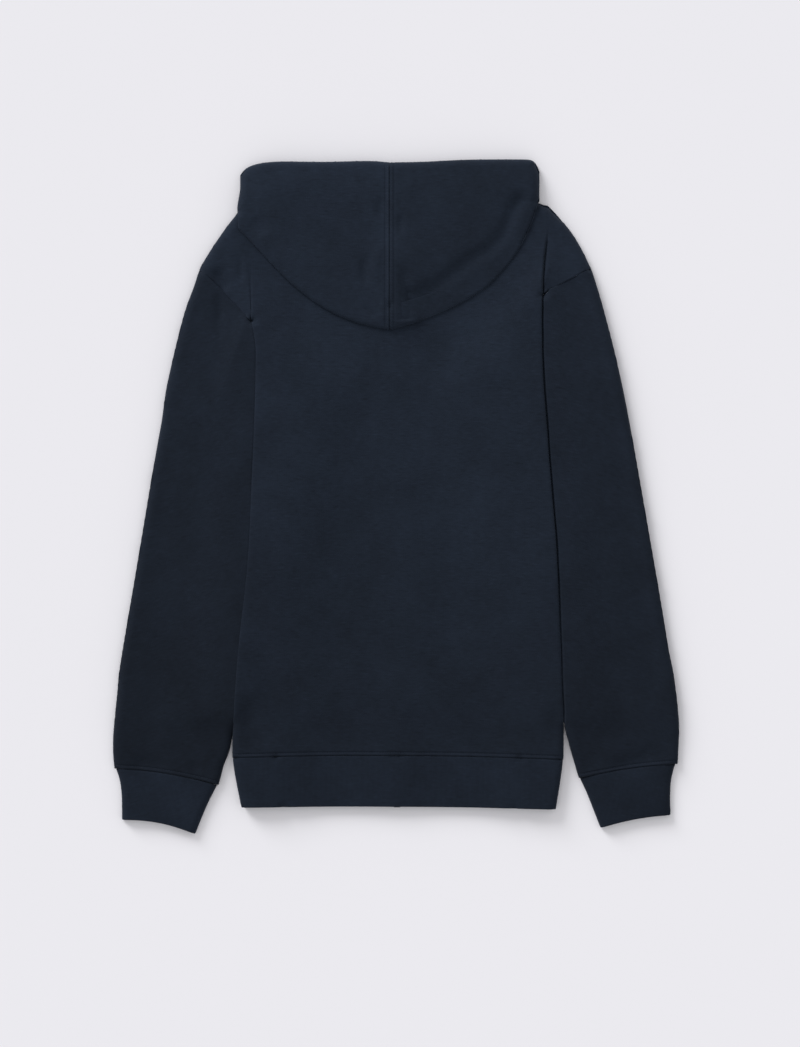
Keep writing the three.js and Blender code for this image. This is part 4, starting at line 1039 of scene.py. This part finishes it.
class HOODIE_OT_sleeves(bpy.types.Operator):
    """The two sleeves, flat tubes from armhole to cuff"""

    bl_idname = "hoodie.sleeves"
    bl_label = "Sleeves"

    def execute(self, context):
        cloth, margin = context.scene.hoodie_cloth, context.scene.hoodie_sewing.margin
        for side, out, creases, area in (("left", -1, LEFT_SLEEVE_CREASES, 0.164),
                                         ("right", 1, RIGHT_SLEEVE_CREASES, 0.162)):
            cuff, armhole = seams()[f"cuff_{side}"], seams()[f"armhole_{side}"]
            marks = [*creases, CUFF_CREASES[side], *seam_creases(cuff, margin, 1),
                     Crease(armhole, 4, 0.4, (0, 0))]
            fold = Line([(x, y) for y, x, z in side_folds()[out][0]])

            def lift(mesh, places):
                top, heights = top_share(mesh, places, FLEECE)
                gap = np.array([outline()[0].find((x, y, 0))[2] for x, y in places[:, :2]])
                sprung = SPRING[out] * (1 - smoothstep(0, SPRING_RUN, gap))
                return sprung + top * (puff(places) + nestled(places, heights, out)
                                       + creased(places, marks) + ripples(places, cloth.ripple))

            node = f"sleeve_{side}"
            piece = lifted_piece(node, f"{node}_cloth", node, "fleece", SPACING["sleeve"], lift,
                                 [cuff, fold], [(cuff, 0.05 * MM), (armhole, 2.4 * MM)],
                                 shifts=SLEEVE_SHIFTS)
        return {"FINISHED"}


class HOODIE_OT_bands(bpy.types.Operator):
    """The cuffs and the hem band"""

    bl_idname = "hoodie.bands"
    bl_label = "Bands"

    def execute(self, context):
        for side, area in (("left", 0.0112), ("right", 0.0107)):
            marks = [CUFF_CREASES[side], *seam_creases(seams()[f"cuff_{side}"], 0, 1)]

            def lift(mesh, places):
                return top_share(mesh, places, BAND)[0] * (puff(places) + creased(places, marks))

            node = f"cuff_{side}"
            piece = lifted_piece(node, f"{node}_rib", node, "rib", SPACING["cuff"], lift,
                                 [seams()[node]], [(seams()[node], 0.3 * MM)], 0)

        marks = seam_creases(seams()["hem"], 0, 1)

        def lift(mesh, places):
            top = top_share(mesh, places, BAND)[0]
            height = places[:, 2]
            tucked = smoothstep(*TUCKED_BAND["low"], height) * (height < TUCKED_BAND["high"])
            return np.maximum(top, tucked) * puff(places) \
                + top * (crown(places) + creased(places, marks))

        piece = lifted_piece("hem_band", "hem_band_rib", "rib", "rib", SPACING["hem_band"], lift,
                             [seams()["hem"]], [(seams()["hem"], 0.5 * MM)], 0)
        return {"FINISHED"}


class HOODIE_OT_hood(bpy.types.Operator):
    """The folded hood: its two halves, the hidden layers and the strips beside the neck"""

    bl_idname = "hoodie.hood"
    bl_label = "Hood"

    def execute(self, context):
        cloth = context.scene.hoodie_cloth
        seam = seams()["hood"]
        marks = [*HOOD_CREASES, *seam_creases(seam, HOOD_GROOVE, 1, 0.75),
                 *seam_creases(seam, HOOD_GROOVE, -1, 0.75)[1:]]

        def lift(mesh, places):
            off_floor = smoothstep(*OFF_FLOOR, places[:, 2])
            top = top_share(mesh, places, FLEECE)[0]
            sunk, kept = rolled(places)
            return off_floor * (puff(places) + crown(places) + kept * top * (
                creased(places, marks) + ripples(places, cloth.ripple))) - sunk

        for side, area in (("left", 0.0373), ("right", 0.0380)):
            node = f"hood_{side}"
            material = "fleece" if side == "left" else "hood_right"
            piece = lifted_piece(node, f"{node}_cloth", material, "fleece", SPACING["hood"], lift,
                                 [seam], [(seam, 0.25 * MM)], 0.3 * MM, HOOD_SHIFTS)

        def lift_folds(mesh, places):
            off_floor = smoothstep(*OFF_FLOOR, places[:, 2])
            top = top_share(mesh, places, FOLDED_SKIN)[0]
            sunk, kept = rolled(places)
            return off_floor * (puff(places) + crown(places)
                                + kept * top * np.minimum(creased(places, marks), 0)) - sunk

        def lift_edge(mesh, places):
            return top_share(mesh, places, FLEECE)[0] * puff(places)

        lifted_piece("hood_folds", "hood_folds_cloth", "fleece", "fleece", SPACING["hood_folds"],
                     lift_folds, shifts=HOOD_SHIFTS)
        for side in ("left", "right"):
            node = f"hood_edge_{side}"
            piece = lifted_piece(node, f"{node}_cloth", "fleece", "fleece", SPACING["hood_edge"],
                                 lift_edge)
        return {"FINISHED"}


# ---- Sewing ----------------------------------------------------------------------------------


def repeated(template, matrices, name):
    """One mesh of many copies of a small one."""
    places, faces = places_of(template), [np.array(p.vertices) for p in template.polygons]
    solid = np.column_stack([places, np.ones(len(places))])
    vertices = np.concatenate([solid @ np.array(m).T for m in matrices])[:, :3]
    polygons = [(face + k * len(places)).tolist() for k in range(len(matrices)) for face in faces]
    mesh = bpy.data.meshes.new(name)
    mesh.from_pydata(vertices.tolist(), [], polygons)
    mesh.update()
    return mesh


def stitch_form(long, wide):
    """A stitch: a short thread, round and thin at its ends, along X."""
    bm = bmesh.new()
    bmesh.ops.create_uvsphere(bm, u_segments=6, v_segments=4, radius=0.5)
    bmesh.ops.rotate(bm, verts=bm.verts, cent=(0, 0, 0), matrix=Matrix.Rotation(pi / 2, 3, "Y"))
    for vertex in bm.verts:
        x, y, z = vertex.co
        vertex.co = Vector((x * long, y * wide, z * wide))
    return to_mesh(bm, "stitch")


class Surface:
    """The finished cloth, as seen from above or from below."""

    def __init__(self, names, from_above=True):
        self.trees = [tree_of(bpy.data.objects[name].data) for name in names]
        self.height, self.way = (ABOVE, DOWN) if from_above else (BELOW, UP)

    def at(self, x, y):
        hits = [tree.ray_cast(Vector((x, y, self.height)), self.way) for tree in self.trees]
        hits = [hit for hit in hits if hit[0]]
        if not hits:
            return None
        place, normal = min(hits, key=lambda hit: abs(hit[0].z - self.height))[:2]
        return place, (normal if normal.dot(self.way) < 0 else -normal)


FRONT_MARGIN = 6 * MM  # from a front's edge to the row that holds the zip's tape
STITCH = 0.8  # how much of the pitch a stitch takes
SINK = {"seen from above": 0.05 * MM, "seen from below": 0.15 * MM}  # how deep stitches lie


def front_edge(node, out):
    """The row of stitches beside the zip on one front."""
    low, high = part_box(node)
    x = (high[0] if out < 0 else low[0]) + out * FRONT_MARGIN
    y_low, y_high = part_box("zip_chain")[0][1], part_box("zip_chain")[1][1]
    return Line([(x, y_low), (x, y_high)])


def stitches_along(line, surface, pitch, shifts, sink):
    """Where each stitch of a row lies on the cloth."""
    line = Line(shifted(line.points, shifts))
    found = []
    for k in range(int(line.length / pitch)):
        (x, y), (dx, dy) = line.at((k + 0.5) * pitch)
        met = surface.at(x, y)
        if not met:
            continue
        place, normal = met
        along = Vector((dx, dy, 0))
        along = (along - normal * along.dot(normal)).normalized()
        across = normal.cross(along)
        matrix = Matrix((along, across, normal)).transposed().to_4x4()
        matrix.translation = place - normal * sink
        found.append(matrix)
    return found


class HOODIE_OT_stitches(bpy.types.Operator):
    """Rows of top stitches beside the seams"""

    bl_idname = "hoodie.stitches"
    bl_label = "Stitches"

    def execute(self, context):
        sewing = context.scene.hoodie_sewing
        lines, margin = seams(), sewing.margin
        back, sleeves = ["back_cloth"], ["sleeve_left_cloth", "sleeve_right_cloth"]
        hood = ["hood_left_cloth", "hood_right_cloth"]
        fronts = ["front_left_cloth", "front_right_cloth"]
        below = {
            "hem_under_stitches": [(lines["hem"].beside(margin), fronts)],
            "cuff_under_stitches": [(lines["cuff_left"].beside(margin), sleeves),
                                    (lines["cuff_right"].beside(margin), sleeves)],
            "zip_stitches": [(front_edge("front_left", -1), fronts),
                             (front_edge("front_right", 1), fronts)],
        }
        rows = {
            "hem_stitches": [(lines["hem"].beside(margin), back)],
            "cuff_stitches": [(lines["cuff_left"].beside(margin), sleeves),
                              (lines["cuff_right"].beside(margin), sleeves)],
            "hood_stitches": [(lines["hood"].beside(HOOD_ROW), hood),
                              (lines["hood"].beside(-HOOD_ROW), hood)],
        }
        template = stitch_form(sewing.pitch * STITCH, sewing.thread)
        for name, parts in [*rows.items(), *below.items()]:
            shifts = HOOD_SHIFTS if name == "hood_stitches" else ()
            sink = SINK["seen from below" if name in below else "seen from above"]
            placed = [matrix for line, cloth in parts
                      for matrix in stitches_along(line, Surface(cloth, name in rows), sewing.pitch,
                                                   shifts, sink)]
            mesh = repeated(template, placed, name)
            finished_piece(name, mesh, materials()["thread"], "garment", "fleece")
        return {"FINISHED"}


# ---- Zip -------------------------------------------------------------------------------------

# Moulded teeth: those of the two tapes alternate and reach between each other.
TOOTH = {"pitch": 1.45 * MM, "long": 3.4 * MM, "wide": 1.25 * MM, "soft": 0.28 * MM, "head": 0.8}


def tooth_form(thick):
    """A tooth: a small block with soft edges and a narrower head at +X."""
    bm = bmesh.new()
    bmesh.ops.create_cube(bm, size=1)
    bmesh.ops.scale(bm, verts=bm.verts, vec=(TOOTH["long"], TOOTH["wide"], thick))
    for vertex in bm.verts:
        if vertex.co.x > 0:
            vertex.co.y *= TOOTH["head"]
    bmesh.ops.bevel(bm, geom=bm.edges[:], offset=TOOTH["soft"], affect="EDGES", segments=1,
                    profile=0.5, material=-1)
    return to_mesh(bm, "tooth")


def teeth_places():
    """Where each tooth sits along the chain, and how thick the chain is."""
    low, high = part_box("zip_chain")
    middle, half = (low[0] + high[0]) / 2, (high[0] - low[0]) / 2
    tree = tree_of(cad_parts["zip_chain"].data)
    found, thick = [], []
    for k in range(int((high[1] - low[1]) / TOOTH["pitch"])):
        side = 1 if k % 2 else -1
        y = low[1] + (k + 0.5) * TOOTH["pitch"]
        top = tree.ray_cast(Vector((middle, y, ABOVE)), DOWN)[0]
        bottom = tree.ray_cast(Vector((middle, y, BELOW)), UP)[0]
        place = Vector((middle + side * (half - TOOTH["long"] / 2), y, (top.z + bottom.z) / 2))
        found.append(Matrix.Translation(place) @ Matrix.Rotation(pi if side > 0 else 0, 4, "Z"))
        thick.append(top.z - bottom.z)
    return found, min(thick)


class HOODIE_OT_zip(bpy.types.Operator):
    """The zip: tapes, teeth, box, slider and pull"""

    bl_idname = "hoodie.zip"
    bl_label = "Zip"

    def execute(self, context):
        for side in ("left", "right"):
            node = f"zip_tape_{side}"
            piece = lifted_piece(node, f"{node}_woven", "tape", "zip_tape", SPACING["zip_tape"],
                                 lambda mesh, places: np.zeros(len(places)))
        placed, thick = teeth_places()
        mesh = repeated(tooth_form(thick), placed, "zip_teeth")
        finished_piece("zip_teeth", mesh, materials()["teeth"], "garment", "zip_teeth", "zip_chain")
        for node, material in (("zip_box", "teeth"),
                               ("zip_slider", "metal"), ("zip_pull", "metal")):
            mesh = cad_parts[node].data
            mesh.materials.clear()
            mesh.materials.append(materials()[material])
        return {"FINISHED"}


# ---- Stage -----------------------------------------------------------------------------------

FLOOR_REACH = 14
CAMERA = {"x": 5.4 * MM, "y": -30.9 * MM, "height": 3.0, "tall": 1.2052}
SENSOR = 36
SUN = {"azimuth": radians(128), "elevation": radians(22), "angle": radians(26), "strength": 2.35}
SKY = 0.72


class HOODIE_OT_stage(bpy.types.Operator):
    """Floor, light and camera"""

    bl_idname = "hoodie.stage"
    bl_label = "Stage"

    def execute(self, context):
        scene = context.scene
        bm = bmesh.new()
        bmesh.ops.create_grid(bm, x_segments=1, y_segments=1, size=FLOOR_REACH)
        floor = bpy.data.objects.new("floor", to_mesh(bm, "floor"))
        floor.data.materials.append(materials()["floor"])
        scene.collection.objects.link(floor)

        sun = bpy.data.lights.new("Key light", "SUN")
        sun.energy, sun.angle = SUN["strength"], SUN["angle"]
        key = bpy.data.objects.new("Key light", sun)
        flat = cos(SUN["elevation"])
        towards = Vector((flat * cos(SUN["azimuth"]), flat * sin(SUN["azimuth"]),
                          sin(SUN["elevation"])))
        key.rotation_euler = towards.to_track_quat("Z", "Y").to_euler()
        scene.collection.objects.link(key)

        world = bpy.data.worlds.new("Studio")
        world.use_nodes = True
        sky = world.node_tree.nodes["Background"]
        sky.inputs["Color"].default_value = (1, 1, 1, 1)
        sky.inputs["Strength"].default_value = SKY
        scene.world = world

        lens = bpy.data.cameras.new("Camera")
        lens.sensor_width = SENSOR
        lens.lens = SENSOR * CAMERA["height"] / CAMERA["tall"]
        camera = bpy.data.objects.new("Camera", lens)
        camera.location = (CAMERA["x"], CAMERA["y"], CAMERA["height"])
        scene.collection.objects.link(camera)
        scene.camera = camera
        scene.view_settings.view_transform = "Standard"
        return {"FINISHED"}


# ---- Add-on ----------------------------------------------------------------------------------


class HOODIE_PT_panel(bpy.types.Panel):
    """The hoodie's settings and the steps that make it"""

    bl_label = "Hoodie"
    bl_idname = "HOODIE_PT_panel"
    bl_space_type = "VIEW_3D"
    bl_region_type = "UI"
    bl_category = "Hoodie"

    def draw(self, context):
        for group in (context.scene.hoodie_cloth, context.scene.hoodie_sewing,
                      context.scene.hoodie_colours):
            box = self.layout.box()
            for name in group.__annotations__:
                box.prop(group, name)
        for step in STEPS:
            self.layout.operator(step.bl_idname)


GROUPS = {"hoodie_cloth": HoodieCloth, "hoodie_sewing": HoodieSewing,
          "hoodie_colours": HoodieColours}
STEPS = (HOODIE_OT_stage, HOODIE_OT_fronts, HOODIE_OT_back, HOODIE_OT_sleeves, HOODIE_OT_bands,
         HOODIE_OT_hood, HOODIE_OT_zip, HOODIE_OT_stitches)


def register():
    for name, group in GROUPS.items():
        bpy.utils.register_class(group)
        setattr(bpy.types.Scene, name, PointerProperty(type=group))
    for step in (*STEPS, HOODIE_PT_panel):
        bpy.utils.register_class(step)


def unregister():
    for step in reversed((*STEPS, HOODIE_PT_panel)):
        bpy.utils.unregister_class(step)
    for name, group in GROUPS.items():
        delattr(bpy.types.Scene, name)
        bpy.utils.unregister_class(group)


def main():
    register()
    for step in STEPS:
        group, name = step.bl_idname.split(".")
        getattr(getattr(bpy.ops, group), name)()


if __name__ == "__main__":
    main()
